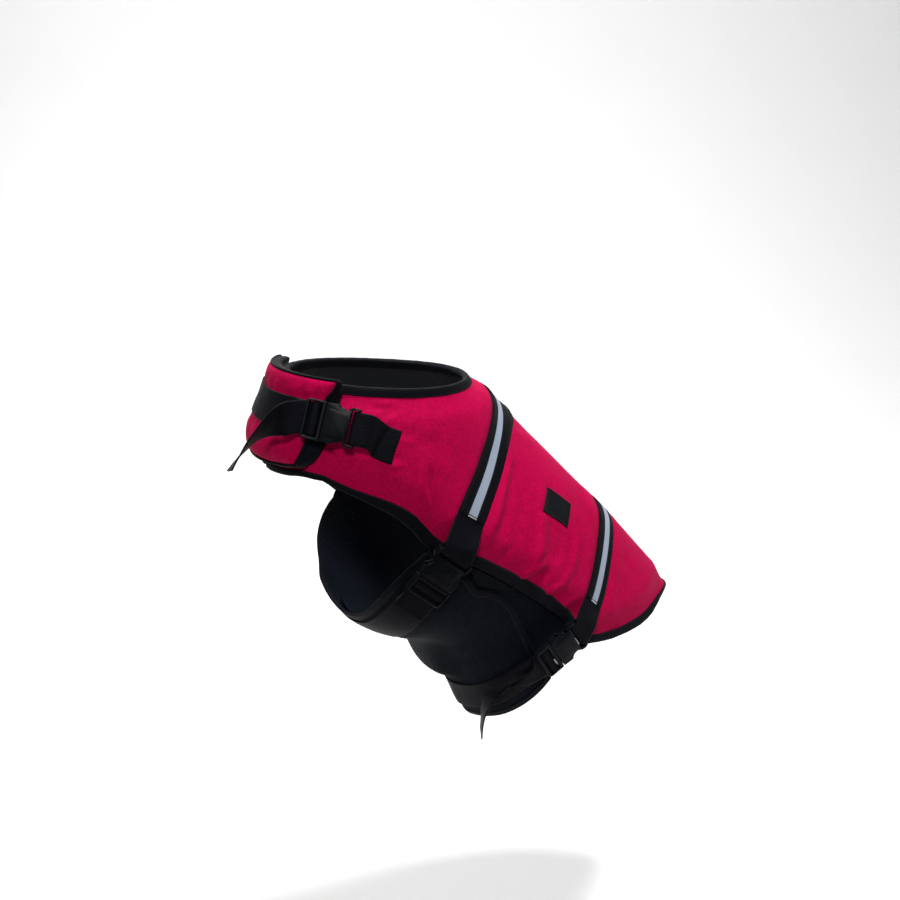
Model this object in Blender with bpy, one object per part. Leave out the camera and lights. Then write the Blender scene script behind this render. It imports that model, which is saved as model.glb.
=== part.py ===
# Dog life jacket, worn shape: a padded back panel with shoulder wings, a padded
# chest float, a mesh belly in two halves, and webbing straps with side buckles.
# Metres, +Z up. The wearer faces -X, its left side is -Y. The origin is on the
# inside of the back panel, over the shoulder blades, where the wearer holds it.

import bmesh
import bpy
import numpy as np

MM = 0.001

# ------------------------------------------------------------------ sizes, mm
PANEL_IN = 2.0            # inside of the back panel, out from the wearer's coat
PANEL_EDGE = 5.0          # foam thickness under the binding
PANEL_FULL = 11.5         # foam thickness in the middle
WING_FULL = 8.0           # foam thickness of the wings under the chest float
EDGE_BAND = 9.0           # width of the thin band that the binding grips
CROWN_RUN = 20.0          # run over which the foam comes up to full thickness
TAPE = 1.0                # binding tape thickness
GAP = 0.35                # gap left between two sewn pieces
LIP_GAP = 0.7             # gap under the outer lip of the binding
HEM_TAPE = 7.5            # width of binding seen along the side hems
ARM_TAPE = ((385, 8.0), (436, 8.0), (452, 6.0), (464, 4.5))
NECK_TAPE = 7.5
BELLY_IN = -1.6           # inside of the mesh halves
MESH = 1.7                # mesh thickness
FLAP_LIFT = 3.2           # inside of the lapping half where it covers the other
FLAP_SAG = 4.6            # how far the slack rear of the lapping half hangs
TUCK = 11.0               # how far the rear of the belly is drawn in past its middle
BULGE = 9.0               # how far the mesh swells out in front of the rear strap there
FLAP_TAPE = 6.0
FLAP_TAPE_THICK = 0.8
FRONT_WEB = 37.5          # front girth webbing width
REAR_WEB = 31.0           # rear girth webbing width
CHEST_WEB = 33.0          # chest webbing width
WEB = 1.6                 # webbing thickness
FRONT_REFLECT = 11.6      # reflective tape widths
REAR_REFLECT = 9.6
REFLECT_THICK = 0.6
PAD_IN = 10.8             # back of the chest float
PAD_EDGE = 22.0           # face of the float at its edge
NECK = 540.0              # neck edge, along the back from the tail end
JOIN = 397.0              # where the side hem turns into the armhole
WING_START = 141.0        # degrees round the body where the wing begins
LEFT_WING_END = 184.5
RIGHT_WING_END = 170.5

# Body the jacket is made to: one row per section across the trunk.
# along = mm from the tail end; back/belly = x, z of the two ends of the section;
# half = half width; egg = how far the widest point sits below the middle.
BODY = np.array([
    # along  back_x  back_z  belly_x  belly_z  half   egg
    (-60.0, 346.0, -264.0, 160.0, -445.0, 90.0, 0.28),
    (0.0, 303.0, -220.0, 112.0, -394.0, 97.0, 0.28),
    (155.0, 193.0, -104.0, 5.0, -292.0, 106.0, 0.28),
    (257.0, 121.0, -33.0, -42.0, -210.0, 106.0, 0.28),
    (359.0, 51.0, 37.0, -132.0, -158.0, 106.0, 0.28),
    (473.0, 24.0, 66.0, -205.0, 6.0, 94.0, 0.12),
    (537.0, 6.0, 84.0, -180.0, 100.0, 80.0, 0.05),
    (570.0, -6.0, 98.0, -170.0, 138.0, 76.0, 0.0),
])
HELD_AT = 300.0           # along, of the origin

# Outlines: degrees round from the spine against mm along.
REAR_HEM = ((0, 4), (10, 8.5), (20, 17.5), (26, 23.5), (38.7, 36), (45, 41.5), (52.5, 48.5),
            (58, 55.5), (64, 65.5), (70, 78), (76, 92.5), (81, 106), (85.3, 119.5),
            (88, 129), (92, 142))
SIDE_HEM = ((142, 92), (160, 91.4), (186, 90.9), (210, 93.8), (234, 96.3), (255, 98.1),
            (276, 98.9), (294, 98.5), (311, 98.1), (328, 98), (344, 98.9), (367, 102),
            (386, 106), (397, 107.5), (415, 109), (432, 113), (450, 121.5), (463, 131),
            (473, 141))
WING_LOW = ((141, 473), (152, 476.5), (165, 476.5), (190, 476))

# Width of binding seen along the rear hem: narrow over the spine.
REAR_LIP = ((0, 2.6), (28, 3.0), (50, 7.5))

# Room behind the inner lip of the binding: more where the armhole curves in.
LIP_DROP = ((340, GAP), (360, 0.5), (395, 0.6), (420, 0.95), (476, 1.1), (490, GAP))

# Webbing centre lines, degrees round against mm along.
REAR_LINE = ((0, 161), (20, 163), (40, 166.5), (60, 165.8), (70, 163.5), (77, 162.8), (86, 164.8),
             (92, 168.3), (103, 173.6), (115, 179.2), (121, 181), (130, 180), (150, 176), (180, 174))
FRONT_LINE = ((0, 404), (18, 402.5), (35, 398.8), (50, 393), (60, 387.8), (68, 384.2), (79, 379.8),
              (86, 376.3), (95, 371.8), (101.6, 369.2), (108, 366.0), (114, 362.8), (120, 359.8),
              (131, 357.1), (140, 352.3), (150, 345.5), (165, 336.5), (180, 333), (210, 345.5))
CHEST_LINE = ((100, 482), (104.3, 486.4), (123.4, 505.8), (136, 511.5), (150, 514.5), (165, 515.5), (180, 515.5))

# Free tail of the chest webbing: place, then width direction.
CHEST_TAIL = (
    # x       y      z      wx     wy     wz
    (-309.4, -61.6, 78.0, 0.10, 0.10, 0.99),
    (-322.2, -60.4, 75.3, -0.12, -0.38, 0.91),
    (-332.2, -59.0, 69.4, -0.26, -0.66, 0.70),
    (-339.9, -56.6, 62.0, -0.32, -0.79, 0.52),
    (-347.0, -53.8, 53.4, -0.32, -0.84, 0.44),
    (-353.8, -50.6, 43.6, -0.27, -0.90, 0.35),
    (-358.8, -47.8, 35.7, -0.23, -0.92, 0.32),
    (-362.3, -45.6, 29.1, -0.19, -0.94, 0.29),
)
# Free tail of the rear girth webbing, which turns edge on and hangs plumb.
REAR_TAIL = (
    (-55.4, -119.4, -226.4, -0.06, -0.22, 0.97),
    (-64.0, -115.6, -232.2, 0.64, -0.34, 0.69),
    (-75.0, -107.8, -240.6, 0.55, -0.50, 0.67),
    (-84.0, -97.6, -250.6, 0.28, -0.77, 0.57),
    (-91.0, -88.5, -262.5, -0.10, -0.95, 0.30),
    (-95.5, -84.0, -276.0, -0.36, -0.92, 0.14),
    (-97.5, -83.0, -290.0, -0.46, -0.88, 0.06),
    (-98.5, -83.0, -304.5, -0.48, -0.87, 0.02),
)

RED = (0.52, 0.012, 0.085, 1.0)
BLACK = (0.012, 0.014, 0.018, 1.0)
MESH_BLACK = (0.010, 0.013, 0.022, 1.0)
PLASTIC = (0.016, 0.018, 0.024, 1.0)
SILVER = (0.36, 0.40, 0.47, 1.0)


# ------------------------------------------------------------------ the body
def smooth(x):
    x = np.clip(x, 0.0, 1.0)
    return x * x * (3.0 - 2.0 * x)


def table(rows, x):
    rows = np.array(rows, float)
    return np.interp(x, rows[:, 0], rows[:, 1])


def section(along):
    """Section values at along, by a smooth curve through the rows of BODY."""
    xs = BODY[:, 0]
    ys = BODY[:, 1:]
    x = np.clip(along, xs[0], xs[-1])
    i = np.clip(np.searchsorted(xs, x, side="right") - 1, 0, len(xs) - 2)
    h = np.diff(xs)
    d = np.diff(ys, axis=0) / h[:, None]
    m = np.empty_like(ys)
    m[0] = d[0]
    m[-1] = d[-1]
    m[1:-1] = (h[:-1, None] * d[1:] + h[1:, None] * d[:-1]) / (h[:-1] + h[1:])[:, None]
    step = h[i][..., None]
    u = ((x - xs[i]) / h[i])[..., None]
    return ((2 * u**3 - 3 * u**2 + 1) * ys[i] + (u**3 - 2 * u**2 + u) * step * m[i]
            + (-2 * u**3 + 3 * u**2) * ys[i + 1] + (u**3 - u**2) * step * m[i + 1])


def coat(along, around):
    """Point on the wearer's coat, mm; around is degrees from the spine, left positive."""
    along, around = np.broadcast_arrays(np.asarray(along, float), np.asarray(around, float))
    row = section(along)
    bx, bz, vx, vz, half, egg = np.moveaxis(row, -1, 0)
    c = np.cos(np.radians(around))
    sn = np.sin(np.radians(around))
    return np.stack([(bx + vx) / 2 + (bx - vx) / 2 * c,
                     -half * sn * (1 - egg * c),
                     (bz + vz) / 2 + (bz - vz) / 2 * c], -1)


def slopes(along, around):
    """Steps of the coat per mm along and per degree round."""
    e = 0.5
    return (coat(along + e, around) - coat(along - e, around),
            coat(along, around + e) - coat(along, around - e))


def outward(along, around):
    along, around = np.broadcast_arrays(np.asarray(along, float), np.asarray(around, float))
    a, b = slopes(along, around)
    n = np.cross(a, b)
    return n / np.linalg.norm(n, axis=-1, keepdims=True)


HELD = coat(HELD_AT, 0.0) + outward(HELD_AT, 0.0) * PANEL_IN


def at(along, around, out):
    """Point in mm in the part's frame, out mm off the coat."""
    out = np.asarray(out, float)
    return coat(along, around) + outward(along, around) * out[..., None] - HELD


# ------------------------------------------------------------------ builders
def clear():
    for item in list(bpy.data.objects):
        bpy.data.objects.remove(item, do_unlink=True)
    for item in list(bpy.data.meshes):
        bpy.data.meshes.remove(item)


def material(name, colour, rough, metal=0.0):
    mat = bpy.data.materials.new(name)
    mat.use_nodes = True
    shader = mat.node_tree.nodes["Principled BSDF"]
    shader.inputs["Base Color"].default_value = colour
    shader.inputs["Roughness"].default_value = rough
    shader.inputs["Metallic"].default_value = metal
    mat.diffuse_color = colour
    return mat


def build(name, points, faces, look, shade=True):
    """One closed body from points in mm."""
    mesh = bpy.data.meshes.new(name)
    mesh.from_pydata([tuple(p) for p in np.asarray(points) * MM], [], faces)
    bm = bmesh.new()
    bm.from_mesh(mesh)
    bmesh.ops.recalc_face_normals(bm, faces=bm.faces[:])
    bm.to_mesh(mesh)
    bm.free()
    mesh.polygons.foreach_set("use_smooth", [shade] * len(mesh.polygons))
    obj = bpy.data.objects.new(name, mesh)
    bpy.context.scene.collection.objects.link(obj)
    mesh.materials.append(material(name + "_look", *look))
    return obj


def slab(name, inner, outer, quads, look):
    """A cloth panel: its inner and outer points and the quads between them."""
    n = len(inner)
    count = {}
    for q in quads:
        for a, b in zip(q, q[1:] + q[:1]):
            count[(a, b)] = count.get((a, b), 0) + 1
    rim = [e for e in count if (e[1], e[0]) not in count]
    faces = [tuple(q) for q in quads]
    faces += [tuple(n + i for i in reversed(q)) for q in quads]
    faces += [(b, a, n + a, n + b) for a, b in rim]
    return build(name, np.concatenate([outer, inner]), faces, look)


def grid_quads(rows, cols):
    return [[i * cols + j, i * cols + j + 1, (i + 1) * cols + j + 1, (i + 1) * cols + j]
            for i in range(rows - 1) for j in range(cols - 1)]


def web(name, rows, faces_out, thick, look):
    """Webbing or tape: rows of points across it and the way its face looks there."""
    mid = np.asarray(rows, float)
    normal = np.asarray(faces_out, float)
    normal = normal / np.linalg.norm(normal, axis=2, keepdims=True)
    off = normal * thick / 2
    n, k = mid.shape[:2]
    slab(name, (mid - off).reshape(-1, 3), (mid + off).reshape(-1, 3), grid_quads(n, k), look)


def free_rows(centre, side, width):
    """Rows and mitred normals of webbing that runs free along centre points."""
    centre = np.asarray(centre, float)
    side = np.asarray(side, float)
    side = side / np.linalg.norm(side, axis=1, keepdims=True)
    step = np.diff(centre, axis=0)
    face = np.cross((side[1:] + side[:-1]) / 2, step)
    face /= np.linalg.norm(face, axis=1, keepdims=True)
    normal = np.concatenate([face[:1], face[1:] + face[:-1], face[-1:]])
    normal /= np.linalg.norm(normal, axis=1, keepdims=True)
    across = np.array([-0.5, 0.0, 0.5]) * width
    rows = centre[:, None] + side[:, None] * across[None, :, None]
    return rows, np.repeat(normal[:, None], 3, axis=1)


def laid_rows(places, width, cover):
    """Rows of webbing laid on the body along (along, around) places.

    cover(along, around, i) is how far out the middle of the webbing lies."""
    places = np.asarray(places, float)
    along = places[:, 0]
    around = places[:, 1]
    p = coat(along, around)
    n = outward(along, around)
    step = np.gradient(p, axis=0)
    side = np.cross(step, n)
    side /= np.linalg.norm(side, axis=1, keepdims=True)
    lead = surface_step(along, around, side)
    rows = []
    normals = []
    for part in (-0.5, 0.0, 0.5):
        s = along + lead[:, 0] * part * width
        r = around + lead[:, 1] * part * width
        out = np.array([cover(s[i], r[i], i) for i in range(len(s))])
        rows.append(at(s, r, out))
        normals.append(outward(s, r))
    return np.stack(rows, 1), np.stack(normals, 1)


def surface_step(along, around, way):
    """(along, around) steps that move 1 mm along each direction in way."""
    a, b = slopes(along, around)
    aa = np.sum(a * a, 1)
    bb = np.sum(b * b, 1)
    ab = np.sum(a * b, 1)
    ea = np.sum(way * a, 1)
    eb = np.sum(way * b, 1)
    det = aa * bb - ab * ab
    return np.stack([(ea * bb - eb * ab) / det, (eb * aa - ea * ab) / det], 1)


def edge_frame(loop, closed):
    """Unit steps in (along, around) that lead 1 mm out over the edge at each point."""
    along = loop[:, 0]
    around = loop[:, 1]
    p = coat(along, around)
    n = outward(along, around)
    nxt = np.roll(p, -1, axis=0) - p
    if not closed:
        nxt[-1] = nxt[-2]
    prev = np.roll(nxt, 1, axis=0)
    if not closed:
        prev[0] = nxt[0]
    e1 = np.cross(n, nxt)
    e2 = np.cross(n, prev)
    e1 /= np.linalg.norm(e1, axis=1, keepdims=True)
    e2 /= np.linalg.norm(e2, axis=1, keepdims=True)
    e = e1 + e2
    e /= np.linalg.norm(e, axis=1, keepdims=True)
    e /= np.clip(np.sum(e * e1, axis=1), 0.7, 1.0)[:, None]
    return surface_step(along, around, e)


def edging(name, loop, profile, closed, look):
    """Tape folded over an edge. profile(i) gives (over, out) corners in mm, in order."""
    loop = np.asarray(loop, float)
    lead = edge_frame(loop, closed)
    corners = [profile(i) for i in range(len(loop))]
    k = len(corners[0])
    points = []
    for i in range(len(loop)):
        for over, out in corners[i]:
            s, r = loop[i] + lead[i] * over
            points.append(at(s, r, out))
    faces = []
    n = len(loop)
    for i in range(n if closed else n - 1):
        a = i * k
        b = ((i + 1) % n) * k
        for j in range(k):
            m = (j + 1) % k
            faces.append((a + j, a + m, b + m, b + j))
    if not closed:
        faces.append(tuple(range(k)))
        faces.append(tuple(range((n - 1) * k + k - 1, (n - 1) * k - 1, -1)))
    return build(name, points, faces, look, shade=False)


def combine(base, other, how):
    mod = base.modifiers.new("join", "BOOLEAN")
    mod.operation = how
    mod.solver = "EXACT"
    mod.object = other
    deps = bpy.context.evaluated_depsgraph_get()
    mesh = bpy.data.meshes.new_from_object(base.evaluated_get(deps))
    base.modifiers.clear()
    base.data = mesh
    bpy.data.objects.remove(other, do_unlink=True)


def finish(obj, name, place):
    """Move a body from its local mm frame (origin, x, y, z axes) into the part."""
    origin, ax, ay, az = place
    mesh = obj.data
    count = len(mesh.vertices)
    flat = np.empty(count * 3)
    mesh.vertices.foreach_get("co", flat)
    local = flat.reshape(-1, 3)
    world = origin * MM + local @ np.stack([ax, ay, az])
    mesh.vertices.foreach_set("co", world.ravel())
    bm = bmesh.new()
    bm.from_mesh(mesh)
    bmesh.ops.remove_doubles(bm, verts=bm.verts[:], dist=1e-6)
    bmesh.ops.dissolve_degenerate(bm, edges=bm.edges[:], dist=1e-6)
    bmesh.ops.recalc_face_normals(bm, faces=bm.faces[:])
    bm.to_mesh(mesh)
    bm.free()
    obj.name = name
    mesh.name = name
    return obj


def prism(name, outline, levels, look):
    """An outline in x, y stacked at (z, inset) levels into one closed body."""
    outline = np.asarray(outline, float)
    ahead = np.roll(outline, -1, axis=0) - outline
    behind = outline - np.roll(outline, 1, axis=0)
    turn = ahead / np.linalg.norm(ahead, axis=1, keepdims=True)
    turn = turn + behind / np.linalg.norm(behind, axis=1, keepdims=True)
    turn /= np.linalg.norm(turn, axis=1, keepdims=True)
    inward = np.stack([-turn[:, 1], turn[:, 0]], 1)
    points = []
    for z, inset in levels:
        for p in outline + inward * inset:
            points.append((p[0], p[1], z))
    n = len(outline)
    faces = [tuple(reversed(range(n)))]
    for k in range(len(levels) - 1):
        for i in range(n):
            j = (i + 1) % n
            faces.append((k * n + i, k * n + j, (k + 1) * n + j, (k + 1) * n + i))
    top = (len(levels) - 1) * n
    faces.append(tuple(range(top, top + n)))
    return build(name, points, faces, look, shade=False)


# ------------------------------------------------------------------ back panel
def rear_edge(around):
    return table(REAR_HEM, np.abs(around))


def back_grid():
    """(along, around) of the back panel's points, its quads and its edge loop."""
    half = np.array([0.0, 0.09, 0.18, 0.27, 0.36, 0.45, 0.54, 0.63, 0.72, 0.81, 0.89, 0.95, 1.0])
    us = np.concatenate([-half[:0:-1], half])
    body_ts = [0.0, None, 0.09, 0.17, 0.26, 0.36, 0.46, 0.56, 0.66, 0.76, 0.88, 1.0]
    front = [408, 420, 432, 443, 454, 464, 473, 481.5, 492, 504, 517, 531.5, NECK]
    corner = REAR_HEM[-1][1]
    places = []
    for t in body_ts:
        if t is None:
            near = rear_edge(us * 92.0)
            lean = (rear_edge(np.abs(us) * 92.0 + 1.0) - rear_edge(np.abs(us) * 92.0 - 1.0)) / 2
            run = 10.5 * np.sqrt(1.0 + (lean / 2.07)**2)
            frac = 0.043
            wide = table(SIDE_HEM, corner + frac * (JOIN - corner))
            places += [(s, u * wide) for s, u in zip(near + run, us)]
            continue
        wide = table(SIDE_HEM, corner + t * (JOIN - corner))
        for u in us:
            s0 = rear_edge(u * 92.0)
            places.append((s0 + t * (JOIN - s0), u * wide))
    for s in front:
        wide = table(SIDE_HEM, min(s, 473.0))
        places += [(s, u * wide) for u in us]
    cols = len(us)
    rows = len(body_ts) + len(front)
    quads = grid_quads(rows, cols)
    wing_rows = [s for s in front if s >= 473.0]
    first = rows - len(wing_rows)
    loops = {}
    for sign, end in ((1, LEFT_WING_END), (-1, RIGHT_WING_END)):
        edge = cols - 1 if sign > 0 else 0
        before = [(first + k) * cols + edge for k in range(len(wing_rows))]
        steps = list(np.linspace(WING_START, end - 4.6, 6)[1:]) + [end]
        chain = [before]
        for around in steps:
            low = table(WING_LOW, around)
            now = []
            for s in wing_rows:
                now.append(len(places))
                share = (s - 473.0) / (NECK - 473.0)
                places.append((low + (NECK - low) * share, sign * around))
            for k in range(len(wing_rows) - 1):
                q = [before[k], now[k], now[k + 1], before[k + 1]]
                quads.append(q if sign > 0 else q[::-1])
            before = now
            chain.append(now)
        loops[sign] = chain
    left = loops[1]
    right = loops[-1]
    loop = list(range(cols))
    loop += [i * cols + cols - 1 for i in range(1, first + 1)]
    loop += [c[0] for c in left[1:]]
    loop += left[-1][1:]
    loop += [c[-1] for c in reversed(left[1:-1])]
    loop += list(range((rows - 1) * cols, rows * cols))[::-1]
    loop += [c[-1] for c in right[1:]]
    loop += right[-1][::-1][1:]
    loop += [c[0] for c in reversed(right[1:-1])]
    loop += [i * cols for i in range(first, 0, -1)]
    return np.array(places), quads, loop


PLACES, QUADS, LOOP = back_grid()
EDGE = coat(PLACES[LOOP, 0], PLACES[LOOP, 1])


def panel_out(along, around):
    """Outside of the foam: thin at the edge, full in the middle."""
    along = np.atleast_1d(np.asarray(along, float))
    around = np.atleast_1d(np.asarray(around, float))
    here = coat(along, around)
    seg = np.roll(EDGE, -1, axis=0) - EDGE
    size = np.sum(seg * seg, 1)
    best = np.full(len(here), 1e9)
    for i in range(len(EDGE)):
        t = np.clip(((here - EDGE[i]) @ seg[i]) / size[i], 0, 1)
        gap = np.linalg.norm(here - (EDGE[i] + t[:, None] * seg[i]), axis=1)
        best = np.minimum(best, gap)
    full = PANEL_FULL - (PANEL_FULL - WING_FULL) * smooth((np.abs(around) - 126.0) / 14.0)
    rise = smooth((best - EDGE_BAND) / CROWN_RUN)
    return PANEL_IN + PANEL_EDGE + (full - PANEL_EDGE) * rise


def make_back():
    s = PLACES[:, 0]
    r = PLACES[:, 1]
    rim = set(LOOP)
    held = sorted({i for q in QUADS if rim & set(q) for i in q})
    outs = panel_out(s, r)
    outs[held] = np.minimum(outs[held], PANEL_IN + PANEL_EDGE + 0.1)
    slab("back_panel", at(s, r, np.full(len(s), PANEL_IN)), at(s, r, outs),
         QUADS, (RED, 0.62))
    ring = PLACES[LOOP]

    def profile(i):
        s, r = ring[i]
        top = PANEL_IN + PANEL_EDGE + LIP_GAP
        low = PANEL_IN - table(LIP_DROP, s)
        if s > NECK - 1.0:
            w = NECK_TAPE
        elif s > 385.0:
            w = table(ARM_TAPE, s)
        elif s > 160.0:
            w = HEM_TAPE
        else:
            w = table(REAR_LIP, abs(r))
        return [(-w, top + TAPE), (GAP + TAPE, top + TAPE), (GAP + TAPE, low - TAPE),
                (-w, low - TAPE), (-w, low), (GAP, low), (GAP, top), (-w, top)]

    edging("back_panel_binding", ring, profile, True, (BLACK, 0.7))


# ------------------------------------------------------------------ belly halves
LEFT_REAR = ((78, 166), (92, 164), (110, 158), (150, 150), (200, 149))
LEFT_FRONT = ((78, 384), (92, 388), (105, 386), (120, 378), (140, 364), (170, 350), (200, 346))
FLAP_REAR = ((78, 162), (92, 158), (112, 150), (118, 147), (125, 145), (136, 143),
             (148, 141), (160, 140), (180, 139))
FLAP_FRONT = ((78, 386), (92, 388), (104, 387.2), (110, 387.4), (120, 386.8), (130, 383.6),
              (140, 378.5), (150, 371.5), (165, 362.5), (180, 359))
FLAP_TOP = ((141, 117), (152, 114.5), (170, 114.2), (198, 113.8), (216, 112.9), (232, 111.8),
            (248, 110.1), (264, 108), (277, 106.8), (292, 106.9), (303, 107.4), (311, 108.4),
            (323, 106.6), (338, 104.9), (347, 105.2), (360, 106.3), (372, 108), (384, 110.5))


def tuck(along, turn):
    """How far the mesh is drawn in at the rear of the right side. turn is degrees from the right."""
    edge = line_at(REAR_LINE, turn) + 16.5
    drawn = TUCK * smooth((192.0 - turn) / 18.0) * smooth((turn - 96.0) / 34.0)
    full = BULGE * smooth((206.0 - turn) / 18.0) * smooth((turn - 112.0) / 40.0)
    return (drawn * smooth((edge + 17.0 - along) / 17.0)
            - full * smooth((along - edge - 3.0) / 18.0) * (1 - smooth((along - edge - 26.0) / 75.0)))


def flap_in(along, around):
    """Inside of the lapping half. around runs from -78 on the right to about -255."""
    along = np.asarray(along, float)
    turn = -np.asarray(around, float)
    lap = FLAP_LIFT - (FLAP_LIFT - BELLY_IN) * smooth((157.0 - turn) / 12.0)
    side = smooth((turn - 178.0) / 14.0) * smooth((246.0 - turn) / 40.0)
    rear = smooth((186.0 - along) / 36.0)
    ripple = 1.2 * np.sin(along / 23.0) * smooth((turn - 190.0) / 20.0) * smooth((248.0 - turn) / 14.0)
    return lap + FLAP_SAG * side * rear + ripple * (1 - rear) - tuck(along, turn)


def flap_grid(rows, cols):
    """(along, around) points of the lapping half, row by row across the body."""
    places = []
    for v in rows:
        for w in cols:
            s_top = FLAP_REAR[2][1] + (383.0 - FLAP_REAR[2][1]) * w
            end = table(FLAP_TOP, s_top) - 360.0
            r = -78.0 + (end + 78.0) * v
            turn = min(abs(r), 360.0 - abs(r))
            lo = table(FLAP_REAR, turn)
            hi = table(FLAP_FRONT, turn)
            places.append((lo + (hi - lo) * w, r))
    return np.array(places)


def make_belly():
    rows = np.array([78, 86, 95, 105, 116, 127, 138, 149, 160, 167, 174, 181, 188, 197], float)
    cols = np.array([0, 0.08, 0.14, 0.2, 0.25, 0.3, 0.36, 0.44, 0.54, 0.65, 0.77, 0.89, 1.0])
    places = []
    for r in rows:
        lo = table(LEFT_REAR, r)
        hi = table(LEFT_FRONT, r)
        places += [(lo + (hi - lo) * w, r) for w in cols]
    places = np.array(places)
    low = BELLY_IN - tuck(places[:, 0], 360.0 - places[:, 1])
    slab("belly_panel_left",
         at(places[:, 0], places[:, 1], low),
         at(places[:, 0], places[:, 1], low + MESH),
         grid_quads(len(rows), len(cols)), (MESH_BLACK, 0.8))

    vs = np.concatenate([np.linspace(0, 0.93, 18), [0.965, 1.0]])
    ws = np.array([0.0, 0.032, 0.09, 0.145, 0.195, 0.233, 0.256, 0.28, 0.304, 0.33, 0.37, 0.43, 0.51,
                   0.61, 0.71, 0.81, 0.9, 0.968, 1.0])
    places = flap_grid(vs, ws)
    inside = flap_in(places[:, 0], places[:, 1])
    slab("belly_panel_right",
         at(places[:, 0], places[:, 1], inside),
         at(places[:, 0], places[:, 1], inside + MESH),
         grid_quads(len(vs), len(ws)), (MESH_BLACK, 0.8))

    cols = len(ws)
    last = len(vs) - 1
    start = 4
    loop = [i * cols for i in range(start, last + 1)]
    loop += [last * cols + j for j in range(1, cols)]
    loop += [i * cols + cols - 1 for i in range(last - 1, start - 1, -1)]
    ring = places[loop]
    lift = inside[loop]

    def profile(i):
        top = lift[i] + MESH + LIP_GAP + 0.1
        low = lift[i] - LIP_GAP - 0.25
        t = FLAP_TAPE_THICK
        w = FLAP_TAPE
        return [(-w, top + t), (GAP + t, top + t), (GAP + t, low - t), (-w, low - t),
                (-w, low), (GAP, low), (GAP, top), (-w, top)]

    edging("belly_flap_binding", ring[::-1], lambda i: profile(len(ring) - 1 - i), False, (BLACK, 0.7))


# ------------------------------------------------------------------ chest float
# Float: degrees from the front centre of the ends of its face and of its back, and face heights.
PAD_SIDE = ((484, 27.4), (492, 30.1), (499, 31.8), (514, 35), (529, 38.2), (535, 40.8), (543.4, 43))
PAD_BASE = ((484, 29.5), (488, 34), (497, 38.7), (514, 42), (532, 43.9), (543.4, 43.6))
PAD_CROWN = ((484, 27.5), (504, 27.5), (525, 24.6), (543.4, 24.6))
PAD_PRESSED = ((503, 26.2), (527, 23))
PAD_ROWS = (484.0, 487.0, 491.0, 496.0, 502.0, 508.0, 515.0, 522.0, 528.0, 532.5, 536.5, 540.2, 543.4)
PAD_COLS = (-1.0, -0.9, -0.72, -0.5, -0.25, 0.0, 0.25, 0.5, 0.72, 0.9, 1.0)
PAD_MIDDLE = 515.0
FRONT_STRETCH = 1.42      # true mm at the front of the chest per mm along


def pad_out(along, share):
    """Face of the float: full above and below the webbing, pressed in under it."""
    away = np.abs(along - PAD_MIDDLE) * FRONT_STRETCH
    press = 1 - smooth((away - CHEST_WEB / 2 - 2.0) / 9.0)
    edge = smooth((1.0 - np.abs(share)) / 0.3)
    bulge = PAD_EDGE + (table(PAD_CROWN, along) - PAD_EDGE) * edge
    return bulge + (table(PAD_PRESSED, along) - bulge) * press


def make_chest():
    places = []
    outs = []
    for s in PAD_ROWS:
        for c in PAD_COLS:
            places.append((s, 180.0 + c * table(PAD_SIDE, s)))
            edge = s in (PAD_ROWS[0], PAD_ROWS[1], PAD_ROWS[-1], PAD_ROWS[-2]) or abs(c) > 0.89
            out = float(pad_out(s, c))
            outs.append(min(out, PAD_EDGE) if edge else out)
    places = np.array(places)
    outs = np.array(outs)
    rows = len(PAD_ROWS)
    cols = len(PAD_COLS)
    loop = list(range(cols))
    loop += [i * cols + cols - 1 for i in range(1, rows)]
    loop += [(rows - 1) * cols + j for j in range(cols - 2, -1, -1)]
    loop += [i * cols for i in range(rows - 2, 0, -1)]
    ring = places[loop]
    height = outs[loop]
    end = np.array([i % cols in (0, cols - 1) for i in loop])
    spread = (table(PAD_BASE, ring[:, 0]) - table(PAD_SIDE, ring[:, 0])) * 1.75 * end
    base = places.copy()
    base[loop] += edge_frame(ring, True) * spread[:, None]
    slab("chest_float", at(base[:, 0], base[:, 1], np.full(len(base), PAD_IN)),
         at(places[:, 0], places[:, 1], outs), grid_quads(rows, cols), (RED, 0.62))

    def profile(i):
        top = height[i] + GAP
        foot = GAP + spread[i]
        return [(-3.0, top + TAPE), (GAP + TAPE, top + TAPE), (foot + TAPE, PAD_IN),
                (foot, PAD_IN), (GAP, top), (-3.0, top)]

    edging("chest_float_gusset", ring, profile, True, (BLACK, 0.7))


# ------------------------------------------------------------------ buckles
FEMALE = 35.0             # length of the socket half
BUCKLE = 56.0             # whole length of a girth buckle
HALF_THICK = 4.7
CHEST_SHORT = 0.965       # the chest buckle is this much shorter


def buckle_frame(start, end, length):
    """Frame of a buckle that runs from the socket's bar towards the ladder end."""
    a = at(*start)
    b = at(*end)
    ax = (b - a) / np.linalg.norm(b - a)
    n = outward((start[0] + end[0]) / 2, (start[1] + end[1]) / 2)
    ay = np.cross(n, ax)
    ay /= np.linalg.norm(ay)
    return a, ax * length, ay, np.cross(ax, ay)


def arc(cx, cy, rx, ry, a0, a1, n):
    return [(cx + rx * np.cos(t), cy + ry * np.sin(t)) for t in np.radians(np.linspace(a0, a1, n))]


def box(name, x0, x1, y0, y1, z0, z1, look):
    points = [(x, y, z) for x in (x0, x1) for y in (y0, y1) for z in (z0, z1)]
    quads = [(0, 1, 3, 2), (4, 6, 7, 5), (0, 4, 5, 1), (2, 3, 7, 6), (0, 2, 6, 4), (1, 5, 7, 3)]
    return build(name, points, quads, look, shade=False)


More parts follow.
